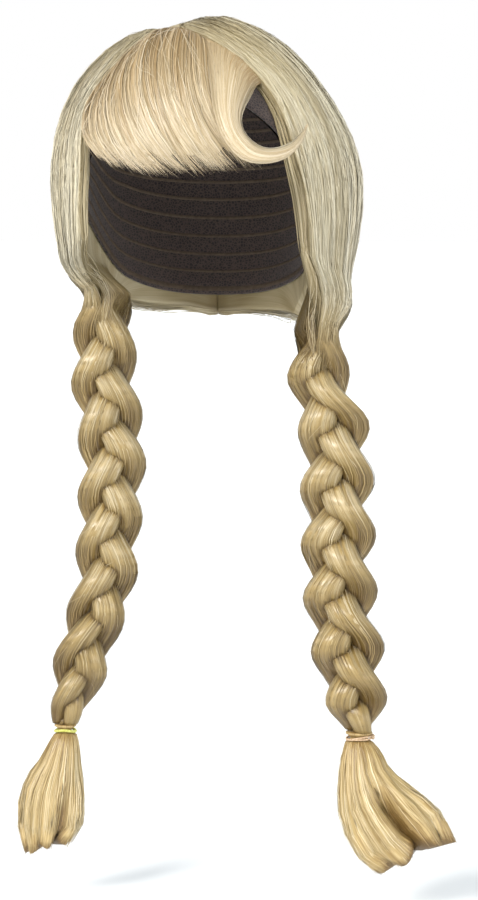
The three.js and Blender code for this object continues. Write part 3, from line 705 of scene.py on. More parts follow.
def makeHairFibres(name, seed, draw):
    # Fibres over the whole outside, some of which start lower and some end before the braid
    size = longHair
    each, share = (size["fibres"], 1), np.linspace(0, 1, size["fibreSteps"])
    place = evenPlaces(draw, size["fibres"])
    first = np.where(draw.random(each) < 0.88, draw.random(each) ** 2 * 0.03, draw.random(each) * 0.3)
    last = np.where(draw.random(each) < 0.93, 1 + draw.uniform(0.01, size["sleeve"], each),
                    draw.uniform(0.86, 1, each))
    run = mix(first, last, share)
    sway = draw.normal(0, 0.006, each) * np.sin(
        fullTurn * (run * draw.uniform(0.4, 1.1, each) + draw.random(each)))
    lean = draw.normal(0, 0.012, each) * (run - 0.4)
    across = np.clip(place + sway + lean, 0.002, 0.998)
    lift = draw.gamma(1.5, 0.13, each) * (0.3 + smooth(run / 0.1))
    lift = lift - 2.5 * smooth((share - 0.93) / 0.07) * draw.random(each)
    paths, _ = hairWall(name, across, run, lift)
    width = draw.uniform(*size["fibreWidth"], each)
    tone = hairTone(name, across, run, seed, draw.normal(*size["fibreTone"], each), size["fibrePaintedShade"])
    fibres = fibrePiece(f"hair_{name}_fibres", paths, hairFacing(name, paths, run), width, tone,
                        finishes["blonde"], seed + 1, thickness=width * size["fibreFlat"], warm=warmth(run))
    seat(fibres, "blonde_hair")


def makeHairEdges(name, seed, draw):
    # Fibres over the front and nape edges of the wall, a few of which stray
    size = longHair
    each, share = (size["edgeFibres"], 1), np.linspace(0, 1, size["fibreSteps"])
    depth = draw.random(each)
    run = np.minimum(draw.random(each) ** 2 * 0.3 + share * draw.uniform(0.6, 1, each), 1.04)
    front = draw.random(each) < size["frontShare"]
    outer, inner = hairWall(name, np.where(front, 0.0, 1.0), run)
    within, _ = hairWall(name, np.where(front, 0.03, 0.97), run)
    facing = unit(outer - within)
    stray = np.where(draw.random(each) < size["strayShare"], draw.uniform(1, 5, each),
                     draw.gamma(1.5, 0.25, each))
    off = 0.15 + stray * np.sin(np.pi * np.clip(share * 1.1, 0, 1)) ** 2
    paths = mix(outer, inner, depth[..., None]) + facing * off[..., None]
    width = draw.uniform(*size["fibreWidth"], each)
    # Painted shade at the roots by the parting
    tone = draw.normal(*size["edgeTone"], each) - 0.14 * (1 - smooth(run / 0.12))
    edges = fibrePiece(f"hair_{name}_edges", paths, facing, width, tone, finishes["blonde"], seed + 3,
                       warm=warmth(run))
    seat(edges, "blonde_hair")


def makeHairGather(name, seed, draw):
    # Fibres on the inner side of the gathered end
    size = longHair
    each, share = (size["innerFibres"], 1), np.linspace(0, 1, size["fibreSteps"])
    place = evenPlaces(draw, size["innerFibres"])
    run = draw.uniform(0.8, 0.9, each) + share * draw.uniform(0.2, 0.27, each)
    across = np.clip(place + draw.normal(0, 0.01, each) * share, 0.002, 0.998)
    _, paths = hairWall(name, across, run, draw.gamma(1.5, 0.2, each) * smooth(share / 0.3))
    width = draw.uniform(*size["fibreWidth"], each)
    # The dark tone here is painted shade inside the gathered end, darkest on the right by the ear
    tone = draw.normal(sides[name]["inside"], 0.08, each) + 0.2 * smooth((run - 0.98) / 0.1)
    inside = fibrePiece(f"hair_{name}_gather", paths, hairFacing(name, paths, run, 0.86, -1), width, tone,
                        finishes["blonde"], seed + 2, warm=warmth(run))
    seat(inside, "blonde_hair")


def makeHairLoops(name, seed, draw):
    # Loose hairs that loop out of the lower front edge before they reach the braid
    size = longHair
    each, share = (size["loops"], 1), np.linspace(0, 1, size["fibreSteps"])
    run = mix(draw.uniform(0.76, 0.92, each), draw.uniform(0.98, 1.1, each), share)
    outer, inner = hairWall(name, 0.01, run)
    paths = mix(outer, inner, draw.random(each)[..., None])
    arch = np.sin(np.pi * share)
    bulge = arch * draw.uniform(2, 7, each)
    swirl = arch * np.sin(fullTurn * share + draw.uniform(-1, 1, each)) * draw.uniform(0.5, 3, each)
    paths = paths + np.stack([-sides[name]["sign"] * bulge, -0.5 * bulge, swirl], -1)
    facing = np.broadcast_to(unit(np.array([0, -1, 0.2])), paths.shape)
    loops = fibrePiece(f"hair_{name}_loops", paths, facing, size["loopWidth"],
                       draw.normal(*size["loopTone"], each), finishes["blonde"], seed + 4,
                       thickness=size["loopThickness"], warm=warmth(run))
    seat(loops, "blonde_hair")


for name, seed in (("left", 21), ("right", 31)):
    sides[name]["outline"] = outlineTable(sides[name])
    makeHairBody(name, seed)
    draw = np.random.default_rng(seed)
    for make in (makeHairFibres, makeHairEdges, makeHairGather, makeHairLoops):
        make(name, seed, draw)
print("long hair made")


# Braids

def strandPoint(side, strand, down, turn, lift):
    # A point on a strand's surface in space, the way out there, and how open it lies, from 0 to 1
    down, turn = np.broadcast_arrays(down, turn)
    spots, out, clear = strandSpot(side, strand, down, turn, lift)
    points = braidCentre(side, down)
    points[..., :2] += spots
    points[..., 2] -= hollow["seamGap"]
    return points, np.concatenate([out, np.zeros((*turn.shape, 1))], -1), smooth((clear - 1) / 0.28)


def strandTone(side, strand, down, turn, seed, middle, clear):
    # Painted highlight where the strand comes over the front, painted shade where it turns away, in the
    # creases between strands and towards both ends
    paintedHighlight = braid["paintedHighlight"] * np.cos(2 * strandPhase(side, strand, down) - braid["paintedHighlightLead"])
    fall = braid["topPaintedShade"] * (1 - smooth(down / 0.16)) + braid["lowPaintedShade"] * smooth((down - 0.45) / 0.4)
    return (middle + braid["creasePaintedShade"] * clear + 0.04 * ripple(turn / fullTurn, down, seed, (3, 7, 12))
            + paintedHighlight - fall)


def makeStrand(name, strand, seed):
    side = sides[name]
    down, turn = tubeGrid(braid["rings"], braid["sides"])
    groove = braid["groove"] * ripple(turn / fullTurn, down * 2, seed, (5, 8, 11), wander=0.5) - braid["sunk"]
    points, _, clear = strandPoint(side, strand, down, turn, groove)
    tone = strandTone(side, strand, down, turn, seed, braid["bodyTone"], clear)
    body = loftPiece(f"braid_{name}_lock_{strand + 1}", points, tone, finishes["braid"],
                     (70, side["braidLength"] * 1.25))
    seat(body, "blonde_hair", f"braid_{name}_strand_{strand + 1}")

    draw = np.random.default_rng(seed + 5)
    each, run = (braid["fibres"], 1), np.linspace(0, 1, braid["fibreSteps"])
    turns = evenPlaces(draw, braid["fibres"]) * fullTurn
    turns = turns + draw.normal(0, 0.16, each) * np.sin(
        fullTurn * (run * draw.uniform(1, 3, each) + draw.random(each)))
    lift = 0.05 + draw.gamma(1.5, 0.13, each)
    paths, outward, clear = strandPoint(side, strand, run, turns, lift)
    width = draw.uniform(*braid["fibreWidth"], each)
    tone = strandTone(side, strand, run, turns, seed, draw.normal(*braid["fibreTone"], each), clear)
    fibres = fibrePiece(f"braid_{name}_fibres_{strand + 1}", paths, outward, width, tone, finishes["braid"],
                        seed + 6, thickness=width * braid["fibreFlat"])
    seat(fibres, "blonde_hair")

    # Short hairs that work loose from the lobes
    each, share = (braid["flyaways"], 1), np.linspace(0, 1, braid["flyawaySteps"])
    run = draw.uniform(0.04, 0.93, each) + draw.uniform(0.02, 0.06, each) * share
    turns = draw.random(each) * fullTurn + draw.normal(0, 0.5, each) * share
    lift = draw.uniform(0.5, 2.6, each) * smooth(share)
    paths, outward, _ = strandPoint(side, strand, run, turns, lift)
    loose = fibrePiece(f"braid_{name}_flyaways_{strand + 1}", paths, outward, braid["flyawayWidth"],
                       draw.normal(*braid["flyawayTone"], each), finishes["braid"], seed + 7,
                       thickness=braid["flyawayThickness"])
    seat(loose, "blonde_hair")


for index, name in enumerate(("left", "right")):
    for strand in range(3):
        makeStrand(name, strand, 100 + 20 * index + 3 * strand)
print("braids made")

# Fringe: one sheet of locks with loose ends that reach past it. Its tables run from the left end to the
# right: where its roots leave the halves' front edges, and the turn and fall of its lower edge.

fringe = {
    "rootHeight": 7.5, "tipHeight": 6.5, "tipThickness": 1.6, "locks": 8, "lockDrop": 0.05, "lockHeight": 1.1,
    "at": [0, 0.17, 0.36, 0.54, 0.7, 0.85, 1],
    "along": [-0.45, -0.28, -0.13, -0.04, 0.05, 0.13, 0.21],
    "turn": [-53, -44, -28, -14, -1, 10, 20],
    "fall": [0.79, 0.84, 0.88, 0.88, 0.87, 0.86, 0.83],
    "height": [1, 1, 1, 1, 1, 0.8, 0.45],
    "bulge": 0.06, "crest": 3, "sweep": 10, "bow": 5,
    "columns": 150, "rows": 24, "bodyEnd": 0.95, "seed": 73,
    "fibres": 1300, "fibreSteps": 12, "fibreWidth": (0.32, 0.8), "fibreFlat": 0.26, "fibreTone": (0.25, 0.08),
    "clumps": 23, "clumpEnd": (0.985, 1.045), "clumpSweep": 1.5, "clumpTone": 0.035, "drawnIn": 0.3,
    "strays": 60, "strayWidth": 0.27, "strayThickness": 0.2, "strayTone": (0.72, 0.08),
}


def fringeRoot(at):
    along = through(fringe["at"], fringe["along"], at)
    edges = {name: unit(hairDirection(name, np.zeros(at.shape), np.abs(along))) for name in sides}
    edge = np.where((along < 0)[..., None], edges["left"], edges["right"])
    ahead = unit(np.array([0, -1, 0]) - edge)
    return unit(edge + ahead * 4 * hollow["seamGap"] / hollow["halfWidth"])


def fringeLay(at, down, sweep):
    # Direction, underside and outside height of the fringe at a place across and down it, and its lock
    at, down, sweep = np.broadcast_arrays(at, down, sweep)
    lock = np.abs(np.sin(np.pi * fringe["locks"] * at))
    level = 1 - through(fringe["at"], fringe["fall"], at) - fringe["lockDrop"] * (lock - 0.7)
    turn = np.radians(through(fringe["at"], fringe["turn"], at) + sweep)
    flat = np.sqrt(1 - level ** 2)
    tip = np.stack([flat * np.sin(turn), -flat * np.cos(turn), level], -1)
    arch = np.sin(np.pi * np.clip(down, 0, 1))
    direction = mix(fringeRoot(at), tip, down[..., None]) * (1 + fringe["bulge"] * arch)[..., None]
    innerLift = hollow["capWall"] + hollow["layClearance"]
    under = mix(innerLift, fringe["tipHeight"] - fringe["tipThickness"], smooth(down))
    crest = mix(fringe["rootHeight"], fringe["tipHeight"], down) + fringe["crest"] * arch
    over = mix(under, crest, through(fringe["at"], fringe["height"], at))
    rib = fringe["lockHeight"] * (lock - 0.5) * smooth(down / 0.25) + 0.3 * ripple(at, down, 71, (11, 19, 31))
    rounding = mix(0.55, 1, smooth(np.minimum(at, 1 - at) / 0.06))
    return direction, under, under + (over + rib - under) * rounding, lock


def makeFringe():
    down, at = np.meshgrid(np.linspace(0, fringe["bodyEnd"], fringe["rows"] + 1),
                           np.linspace(0, 1, fringe["columns"] + 1), indexing="ij")
    sweep = fringe["sweep"] * down ** 3 - fringe["bow"] * np.sin(np.pi * down)
    direction, under, over, lock = fringeLay(at, down, sweep)
    rings = np.concatenate([onHollow(direction, over), onHollow(direction, under)[:, ::-1]], 1)
    # Painted shade at the roots under the halves' front edges and in the grooves between locks, paler towards
    # the tips; the underside keeps the roots' darker tone, painted shade
    tone = 0.22 + 0.26 * smooth(down) + 0.1 * lock + 0.05 * ripple(at, down, 72, (7, 12, 22))
    body = loftPiece("fringe_body", rings, np.concatenate([tone, np.full(tone.shape, 0.25)], 1),
                     finishes["pale"], (300, 110), wall=True)
    seat(body, "pale_hair", "fringe")

    # Fibres draw together into locks of uneven width, each with its own length and sweep
    draw = np.random.default_rng(fringe["seed"])
    each, share = (fringe["fibres"], 1), np.linspace(0, 1, fringe["fibreSteps"])
    place, clumps = evenPlaces(draw, fringe["fibres"]), fringe["clumps"]
    bounds = np.sort((np.arange(1, clumps) + draw.uniform(-0.35, 0.35, clumps - 1)) / clumps)
    bounds = np.concatenate([[0], bounds, [1]])
    clump = np.clip(np.searchsorted(bounds, place) - 1, 0, clumps - 1)
    middle = ((bounds[:-1] + bounds[1:]) / 2)[clump]
    clumpEnd = draw.uniform(*fringe["clumpEnd"], clumps)[clump]
    clumpSweep = draw.normal(0, fringe["clumpSweep"], clumps)[clump]
    clumpTone = draw.normal(0, fringe["clumpTone"], clumps)[clump]
    closeness = 1 - np.abs(place - middle) / 0.035
    down = share * (clumpEnd + 0.035 * closeness + draw.normal(0, 0.02, each))
    at = mix(place, middle, fringe["drawnIn"] * smooth((down - 0.5) / 0.5))
    at = np.clip(at + draw.normal(0, 0.006, each) * down, 0, 1)
    sweep = (fringe["sweep"] + clumpSweep + draw.normal(0, 1.5, each)) * down ** 3
    direction, _, over, _ = fringeLay(at, down, sweep - fringe["bow"] * np.sin(np.pi * down))
    lift = 0.1 + draw.gamma(1.5, 0.25, each) * (0.2 + smooth(share / 0.15))
    settle = 1.6 * smooth((down - 0.85) / 0.2) * draw.random(each)
    paths = onHollow(direction, over + lift - settle)
    width = draw.uniform(*fringe["fibreWidth"], each)
    # Painted shade at the roots, paler towards the tips
    tone = draw.normal(*fringe["fibreTone"], each) + clumpTone + 0.36 * smooth(down)
    fibres = fibrePiece("fringe_fibres", paths, unit(paths - hollowMiddle), width, tone, finishes["pale"],
                        fringe["seed"] + 1, thickness=width * fringe["fibreFlat"], tip=0.05)
    seat(fibres, "pale_hair")

    # Single hairs that stray across the locks
    each = (fringe["strays"], 1)
    down = draw.uniform(0.02, 0.5, each) + share * draw.uniform(0.2, 0.5, each)
    at = np.clip(draw.uniform(0.04, 0.9, each) + draw.normal(0, 0.14, each) * share ** 2, 0, 1)
    direction, _, over, _ = fringeLay(at, down, 0)
    paths = onHollow(direction, over + 0.5 + draw.uniform(0.4, 2.2, each) * np.sin(np.pi * share))
    strays = fibrePiece("fringe_strays", paths, unit(paths - hollowMiddle), fringe["strayWidth"],
                        draw.normal(*fringe["strayTone"], each), finishes["pale"], fringe["seed"] + 2,
                        thickness=fringe["strayThickness"], tip=0.05)
    seat(strays, "pale_hair")


makeFringe()
print("fringe made")

# Curled lock in front: directions of its outer and inner edges, its height and its thickness, from
# its root along the right half's front edge to its tip

curl = {
    "outerX": [0.032, 0.108, 0.169, 0.209, 0.241, 0.301, 0.411, 0.546, 0.677, 0.755, 0.774],
    "outerZ": [0.997, 0.845, 0.715, 0.567, 0.414, 0.263, 0.143, 0.11, 0.137, 0.218, 0.31],
    "innerX": [0.669, 0.535, 0.476, 0.433, 0.409, 0.436, 0.517, 0.605, 0.698, 0.747, 0.768],
    "innerZ": [0.645, 0.604, 0.543, 0.457, 0.364, 0.275, 0.206, 0.188, 0.215, 0.264, 0.315],
    "lift": [4.4, 5.2, 6.6, 8.4, 10.1, 11.5, 12.5, 13.5, 15, 17, 19.5],
    "thickness": [0.7, 1.2, 2.0, 2.8, 3.3, 3.4, 3.3, 3.0, 2.5, 1.6, 0.6],
    "steps": 96, "sides": 40, "seed": 83, "fibres": 560, "fibreSteps": 24, "fibreWidth": (0.32, 0.8),
    "bodyTone": 0.52, "fibreTone": (0.61, 0.07), "rootPaintedShade": 0.22,
    "frizz": 90, "frizzSteps": 10, "frizzWidth": 0.35, "frizzThickness": 0.2, "frizzTone": (0.12, 0.1),
}


def curlPoint(at, turn, grow):
    # A point of the lock's section at a place along it, its distance from the middle grown by a share
    at, turn, grow = np.broadcast_arrays(at, turn, grow)
    knots = np.linspace(0, 1, len(curl["lift"]))
    edges = []
    for name in ("outer", "inner"):
        across, level = through(knots, curl[f"{name}X"], at), through(knots, curl[f"{name}Z"], at)
        edges.append(np.stack([across, -np.sqrt(np.clip(1 - across ** 2 - level ** 2, 0, 1)), level], -1))
    way = mix(edges[0], edges[1], (0.5 + 0.5 * np.cos(turn) * grow)[..., None])
    lift = through(knots, curl["lift"], at) + through(knots, curl["thickness"], at) * grow * np.sin(turn)
    aside = unit(edges[1] - edges[0])
    outward = unit(unit(way) * np.sin(turn)[..., None] + aside * np.cos(turn)[..., None] * 0.8)
    return onHollow(way, lift), outward


def makeCurl():
    at, turn = tubeGrid(curl["steps"], curl["sides"])
    grow = 0.96 + 0.03 * ripple(turn / fullTurn, at, 81, (4, 7, 11))
    points, _ = curlPoint(at, turn, grow)
    # Painted light on the lock's outer face and painted shade on its underside, with painted shade at the
    # root where it leaves the hair's edge
    tone = curl["bodyTone"] + 0.08 * np.sin(turn) + 0.06 * ripple(turn / fullTurn, at, 82, (3, 6, 9))
    tone = tone - curl["rootPaintedShade"] * (1 - smooth(at / 0.3))
    body = loftPiece("curl_body", points, tone, finishes["pale"], (80, 150))
    seat(body, "pale_hair", "curl_lock")

    draw = np.random.default_rng(curl["seed"])
    each = (curl["fibres"], 1)
    at = draw.uniform(0.86, 1.0, each) * np.linspace(0, 1, curl["fibreSteps"])
    turn = draw.random(each) * fullTurn + draw.normal(0, 0.3, each) * at
    grow = 0.97 + (0.02 + draw.gamma(1.3, 0.03, each)) * smooth((at - 0.06) / 0.2)
    points, outward = curlPoint(at, turn, grow)
    width = draw.uniform(*curl["fibreWidth"], each)
    inner = np.clip(np.cos(turn), 0, 1)
    # Painted shade at the root, deepest on the inner edge where the lock leaves the right half
    tone = draw.normal(*curl["fibreTone"], each) - (0.26 + 0.16 * inner) * (1 - smooth(at / 0.32))
    fibres = fibrePiece("curl_fibres", points, outward, width, tone, finishes["pale"], curl["seed"] + 1,
                        tip=0.05)
    seat(fibres, "pale_hair")

    # Short crimped hairs where the lock's inner edge leaves the right half
    each, share = (curl["frizz"], 1), np.linspace(0, 1, curl["frizzSteps"])
    run = draw.uniform(0.3, 0.39, each) + share * draw.uniform(0.0, 0.09, each)
    outer, inner = hairWall("right", 0.004, run)
    depth = draw.random(each)
    crimp = 0.8 * np.sin(share * draw.uniform(8, 22, each) + draw.random(each) * 6)
    reach = (share * draw.uniform(1, 7, each) + crimp)[..., None] * np.array([-0.75, -0.25, -0.35])
    paths = mix(outer, inner, depth[..., None]) + reach
    frizz = fibrePiece("curl_root_hairs", paths, unit(paths - hollowMiddle), curl["frizzWidth"],
                       draw.normal(*curl["frizzTone"], each), finishes["braid"], curl["seed"] + 3,
                       thickness=curl["frizzThickness"], tip=0.05)
    seat(frizz, "pale_hair")


makeCurl()
print("curled lock made")

# Tails below the elastics. The tables run down a tail in shares of its length, and its cleft parts its
# two main locks.

tail = {
    "neckRise": 4, "bandThickness": 2.4, "bandHeight": 3.2, "bandGap": 0.6, "lobes": 7, "lobeDepth": 0.09,
    "tipDrop": 0.11, "sides": 84, "rings": 40, "fibres": 1000, "fibreSteps": 10, "fibreWidth": (0.3, 0.7),
    "bodyTone": 0.42, "fibreTone": (0.52, 0.12), "cleftPaintedShade": 0.5,
    "cleft": {"right": {"start": 0.4, "turn": -66, "spread": 13, "depth": 0.72, "notch": 8},
              "left": {"start": 0.45, "turn": -118, "spread": 12, "depth": 0.2, "notch": 2}},
    "right": {
        "down": [0.12, 0.3, 0.5, 0.7, 0.86, 0.97], "out": [0.02, 0.05, 0.13, 0.27, 0.4, 0.5],
        "ahead": [0.02, 0.06, 0.11, 0.16, 0.19, 0.2], "width": [0.16, 0.21, 0.3, 0.37, 0.38, 0.33],
        "depth": [0.13, 0.17, 0.21, 0.22, 0.19, 0.14], "tilt": [4, 12, 22, 30, 32, 24],
    },
    "left": {
        "down": [0.12, 0.3, 0.48, 0.7, 0.88, 1], "out": [0.01, 0.04, 0.08, 0.1, 0.115, 0.14],
        "ahead": [0.02, 0.06, 0.1, 0.14, 0.17, 0.19], "width": [0.13, 0.18, 0.25, 0.275, 0.25, 0.19],
        "depth": [0.12, 0.15, 0.17, 0.17, 0.15, 0.11], "tilt": [2, 6, 8, 6, -6, -14],
    },
}


def tailRows(name):
    # Sections of a tail from the top of its neck to its tips, in millimetres
    side, rows = sides[name], tail[name]
    waist = 1 - (tail["bandThickness"] + tail["bandGap"]) / side["bandHalfWidth"]
    rise, height, length = tail["neckRise"], tail["bandHeight"], side["tailLength"]
    table = {"drop": [0, rise - height * 0.8, rise - height * 0.3, rise + height * 0.3, rise + height * 0.8]}
    swells = np.array([0.98, 0.98, waist, waist, 0.98])
    table["width"] = list(side["bandHalfWidth"] * swells)
    table["depth"] = list(side["bandHalfDepth"] - side["bandHalfWidth"] * (1 - swells))
    for column in ("out", "ahead", "tilt", "lobes"):
        table[column] = [0] * len(swells)
    table["drop"] += [rise + down * length for down in rows["down"]]
    table["lobes"] += [(index + 1) / len(rows["down"]) for index in range(len(rows["down"]))]
    table["tilt"] += rows["tilt"]
    for column in ("out", "ahead", "width", "depth"):
        table[column] += [share * length for share in rows[column]]
    return table


def lobeWave(turn):
    return np.abs(np.cos(turn * tail["lobes"] / 2))


def tailPoint(name, drop, turn, grow, dip):
    side, table = sides[name], tailRows(name)
    knots = table["drop"]
    value = {column: through(knots, table[column], np.clip(drop, knots[0], knots[-1]))
             for column in ("out", "ahead", "width", "depth", "tilt", "lobes")}
    x, y, z = braidCentre(side, 1)
    swell = (1 + value["lobes"] * tail["lobeDepth"] * (2 * lobeWave(turn) - 1)) * grow
    tilt = np.radians(value["tilt"])
    across = value["width"] * np.cos(turn) * swell
    return np.stack([
        x + side["sign"] * (value["out"] + across * np.cos(tilt) + dip * np.sin(tilt)),
        y - value["ahead"] + value["depth"] * np.sin(turn) * swell,
        z - 2 * hollow["seamGap"] - drop + across * np.sin(tilt) - dip * np.cos(tilt),
    ], -1)


def tailForm(name, share, turn, seed):
    # Swell and tip length of a tail's surface: soft locks, and the cleft between its two main ones
    cleft = tail["cleft"][name]
    away = (np.degrees(turn) - cleft["turn"] + 180) % 360 - 180
    cut = np.exp(-(away / cleft["spread"]) ** 2) * smooth((share - cleft["start"]) / 0.35)
    locks = 0.035 * smooth(share / 0.3) * ripple(turn / fullTurn, share, seed, (6, 9, 14))
    tipDrop = sides[name]["tailLength"] * tail["tipDrop"] * (lobeWave(turn) - 0.6) * 0.8
    dip = smooth((share - 0.8) / 0.2) * (tipDrop - cleft["notch"] * np.exp(-(away / 24) ** 2))
    return 1 + locks - cleft["depth"] * cut, dip, cut


def makeTail(name, seed):
    total = tailRows(name)["drop"][-1]
    share, turn = tubeGrid(tail["rings"], tail["sides"])
    share = share ** 1.15
    swell, dip, cut = tailForm(name, share, turn, seed)
    points = tailPoint(name, share * total, turn, swell, dip)
    # Paler down the tail as painted light, with painted shade in the cleft and at the cut ends
    tone = tail["bodyTone"] + 0.08 * share + 0.05 * ripple(turn / fullTurn, share, seed + 1, (5, 9, 15))
    tone = tone - tail["cleftPaintedShade"] * cut - 0.35 * smooth((share - 0.95) / 0.05)
    body = loftPiece(f"tail_{name}_body", points, tone, finishes["golden"], (120, 90))
    seat(body, "golden_hair", f"tail_{name}")

    draw = np.random.default_rng(seed + 2)
    each = (tail["fibres"], 1)
    run = np.linspace(0, 1, tail["fibreSteps"]) ** 1.6 * draw.uniform(0.97, 1.01, each)
    drop = mix(tail["neckRise"] + tail["bandHeight"] * 0.3, total, run)
    turn = draw.random(each) * fullTurn + draw.normal(0, 0.1, each) * run
    swell, dip, cut = tailForm(name, drop / total, turn, seed)
    depth = np.where(draw.random(each) < 0.72, 1.0, draw.uniform(0.5, 0.98, each))
    grow = mix(1, depth, smooth(run)) + 0.012 + draw.gamma(1.3, 0.014, each) * smooth(run / 0.2)
    dip = dip + smooth((run - 0.5) / 0.5) * draw.uniform(-1, 2.2, each)
    points = tailPoint(name, drop, turn, grow * swell, dip)
    # Way out of the surface, worked out from its neighbours round the tail and along it
    beside = []
    for near in (turn - 0.06, turn + 0.06):
        nearSwell, nearDip, _ = tailForm(name, drop / total, near, seed)
        beside.append(tailPoint(name, drop, near, nearSwell, nearDip))
    outward = unit(np.cross(np.gradient(points, axis=1), beside[1] - beside[0])) * sides[name]["sign"]
    width = draw.uniform(*tail["fibreWidth"], each)
    # Paler down the tail as painted light, painted shade in the cleft, under the elastic and at the cut ends
    tone = draw.normal(*tail["fibreTone"], each) + 0.14 * run - tail["cleftPaintedShade"] * cut
    tone = tone - 0.16 * (1 - smooth(run / 0.25)) - 0.3 * smooth((run - 0.96) / 0.04)
    fibres = fibrePiece(f"tail_{name}_fibres", points, outward, width, tone, finishes["golden"], seed + 3,
                        tip=0.3)
    seat(fibres, "golden_hair")


makeTail("left", 91)
makeTail("right", 95)
print("tails made")

# Elastics: one plain ring, and one wound twice with a small knot at its outer end

elastics = {
    "left": {"slot": "green_elastic", "rings": 1, "thick": 0.8, "arch": 1.4, "lean": 0.0, "cross": 0,
             "knot": False,
             "finish": grainMaterial("greenElastic", 0.42, 900, 3, (0.35, (0.42, 0.42, 0.06)),
                                     (0.7, (0.66, 0.68, 0.2)), relief=0.3)},
    "right": {"slot": "tan_elastic", "rings": 2, "thick": 0.55, "arch": 0.4, "lean": 0.1, "cross": 0.5,
              "knot": True,
              "finish": grainMaterial("tanElastic", 0.42, 900, 3, (0.35, (0.40, 0.26, 0.15)),
                                      (0.7, (0.62, 0.46, 0.3)), relief=0.3)},
}
knotSize = Vector((1.6, 1.8, 1.9)) * metres


def addKnot(place):
    bpy.ops.mesh.primitive_ico_sphere_add(subdivisions=3, radius=1)
    knot = bpy.context.active_object
    for vertex in knot.data.vertices:
        lump = 1 + 0.15 * math.sin(vertex.co.x * 5) * math.cos(vertex.co.z * 6)
        vertex.co = place + vertex.co * knotSize * lump
    return knot


def makeElastic(name):
    look = elastics[name]
    low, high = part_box(f"band_{name}")
    middle, half = (low + high) / 2, (high - low) / 2
    minor = tail["bandThickness"] / 2 * metres
    width = minor * look["thick"]
    parts = []
    for ring in range(look["rings"]):
        bpy.ops.mesh.primitive_torus_add(major_segments=72, minor_segments=12, major_radius=1,
                                         minor_radius=0.25)
        parts.append(bpy.context.active_object)
        rise = (ring - (look["rings"] - 1) / 2) * width * 1.5
        for vertex in parts[-1].data.vertices:
            angle = math.atan2(vertex.co.y, vertex.co.x)
            out = (math.hypot(vertex.co.x, vertex.co.y) - 1) / 0.25 * width - minor * 0.5
            arch = look["arch"] * metres * (0.5 - math.cos(angle) ** 2)
            cross = look["cross"] * width * math.sin(angle * 2 + ring * math.pi)
            vertex.co = (
                middle.x + (half.x + out) * math.cos(angle),
                middle.y + (half.y + out) * math.sin(angle),
                middle.z + vertex.co.z / 0.25 * width + arch + rise + cross
                + look["lean"] * half.x * math.cos(angle),
            )
    if look["knot"]:
        parts.append(addKnot(middle + Vector((half.x, -metres, metres))))
    bpy.ops.object.select_all(action="DESELECT")
    for part in parts:
        part.select_set(True)
    bpy.context.view_layer.objects.active = parts[0]
    if len(parts) > 1:
        bpy.ops.object.join()
    piece = bpy.context.active_object
    piece.name = f"elastic_{name}"
    bpy.ops.object.shade_smooth()
    bpy.ops.object.select_all(action="DESELECT")
    piece.data.materials.clear()
    piece.data.materials.append(look["finish"])
    seat(piece, look["slot"], f"band_{name}")


makeElastic("left")
makeElastic("right")
print("elastics made")

# Foundation cap. Fall is the angle from its top down to its edge, for each turn from the front round.

cap = {
    "turn": [-45, 0, 45, 75, 95, 125, 180, 235], "fall": [68, 51, 68, 101, 99, 116, 122, 116],
    "segments": 96, "rings": 45, "keep": 120,
    "wefts": 17, "weftSteps": 60, "weftFrom": 0.3, "weftTo": 0.985, "weftTurn": 28, "weftThickness": 0.7,
    "weftInset": 0.35, "tapeWidth": 2.6, "bindingWidth": 6.0,
}


def capDirection(turn, share):
    # Direction of a place on the cap, from its turn and its share of the way down to the edge
    fall = np.radians(through(cap["turn"], cap["fall"], np.abs(np.degrees(turn)))) * share
    return np.stack([np.sin(fall) * np.sin(turn), -np.sin(fall) * np.cos(turn), np.cos(fall)], -1)


def makeCap():
    bpy.ops.mesh.primitive_uv_sphere_add(segments=cap["segments"], ring_count=cap["rings"], radius=1)
    piece = bpy.context.active_object
    piece.name = "cap_net"
    bpy.ops.object.mode_set(mode="EDIT")
    bpy.ops.mesh.select_all(action="DESELECT")
    bpy.ops.object.mode_set(mode="OBJECT")
    for vertex in piece.data.vertices:
        vertex.select = math.degrees(math.acos(max(-1, min(1, vertex.co.z)))) > cap["keep"] + 1
    bpy.ops.object.mode_set(mode="EDIT")
    bpy.ops.mesh.delete(type="VERT")
    bpy.ops.object.mode_set(mode="OBJECT")
    spots = np.array([tuple(vertex.co) for vertex in piece.data.vertices])
    share = np.arccos(np.clip(spots[:, 2], -1, 1)) / math.radians(cap["keep"])
    placed = onHollow(capDirection(np.arctan2(spots[:, 0], -spots[:, 1]), share), hollow["capWall"])
    piece.data.vertices.foreach_set("co", (placed * metres).astype(np.float32).ravel())
    wall = piece.modifiers.new("wall", "SOLIDIFY")
    wall.thickness = hollow["capWall"] * metres
    wall.offset = -1
    bpy.ops.object.modifier_apply(modifier="wall")
    bpy.ops.object.shade_smooth()
    piece.data.materials.clear()
    piece.data.materials.append(netMaterial())
    piece.select_set(False)
    seat(piece, "cap_net", "cap")


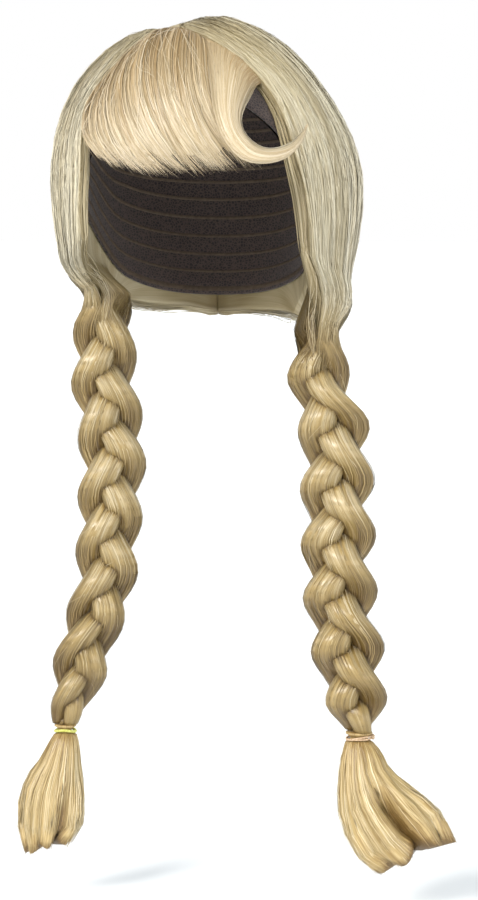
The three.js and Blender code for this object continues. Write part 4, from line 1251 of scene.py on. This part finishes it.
def makeWefts():
    # Sewn weft tapes inside, and the binding round the cap's edge
    rows = np.linspace(cap["weftFrom"], cap["weftTo"], cap["wefts"])[:, None]
    turn = np.linspace(cap["weftTurn"], 360 - cap["weftTurn"], cap["weftSteps"])
    turn = np.radians((turn + 180) % 360 - 180)
    paths = onHollow(capDirection(*np.broadcast_arrays(turn, rows)), -cap["weftInset"])
    width = np.where(rows < rows[-1], cap["tapeWidth"], cap["bindingWidth"])
    finish = grainMaterial("weftTape", 0.8, 420, 2, (0, (0.05, 0.034, 0.024)), (1, (0.17, 0.125, 0.085)))
    tapes = fibrePiece("cap_wefts", paths, unit(hollowMiddle - paths), width, 0.5, finish, 61,
                       thickness=cap["weftThickness"], tip=0.6)
    seat(tapes, "cap_net")


makeCap()
makeWefts()
print("cap made")

# Plain floor, soft light. Each sun has its way, strength, colour and spread.

studio = {
    "floorDrop": -0.572, "floorSize": 60, "floorColour": (0.86, 0.86, 0.86), "horizon": 1.0, "zenith": 0.3,
    "key": ((0.62, 0.85, -0.75), 3.1, (1, 0.98, 0.94), 22),
    "rim": ((-0.5, -0.75, -0.95), 1.8, (0.78, 0.91, 1), 20),
    "fill": ((-0.9, 0.7, -0.4), 1.15, (0.95, 0.98, 1), 40),
}


def addSun(name):
    # Soft light from far away, as from a large panel
    toward, strength, colour, spread = studio[name]
    data = bpy.data.lights.new(name, "SUN")
    data.energy = strength
    data.angle = math.radians(spread)
    data.color = colour
    light = bpy.data.objects.new(name, data)
    light.rotation_euler = Vector(toward).to_track_quat("-Z", "Y").to_euler()
    bpy.context.scene.collection.objects.link(light)
    return light


def makeStudio():
    bpy.ops.mesh.primitive_plane_add(size=studio["floorSize"], location=(0, 0, studio["floorDrop"]))
    floor = bpy.context.active_object
    floor.name = "floor"
    material, nodes, links, shader = newMaterial("paleFloor", 0.9)
    shader.inputs["Base Color"].default_value = (*studio["floorColour"], 1)
    floor.data.materials.append(material)
    floor.select_set(False)
    # The studio is bright all round and dimmer overhead
    world = bpy.data.worlds.new("studio")
    world.use_nodes = True
    nodes, links = world.node_tree.nodes, world.node_tree.links
    place = nodes.new("ShaderNodeTexCoord")
    parts = nodes.new("ShaderNodeSeparateXYZ")
    height = nodes.new("ShaderNodeMath")
    height.operation = "ABSOLUTE"
    links.new(place.outputs["Generated"], parts.inputs[0])
    links.new(parts.outputs["Z"], height.inputs[0])
    colour = addRamp(nodes, links, height.outputs[0], (0.3, (studio["horizon"],) * 3),
                     (0.75, (studio["zenith"],) * 3))
    links.new(colour, nodes["Background"].inputs["Color"])
    bpy.context.scene.world = world
    addSun("key")
    addSun("rim").visible_glossy = False    # it only brightens the hair from behind, with no glints
    addSun("fill")
    bpy.context.scene.view_settings.view_transform = "Standard"


makeStudio()
print("studio made")
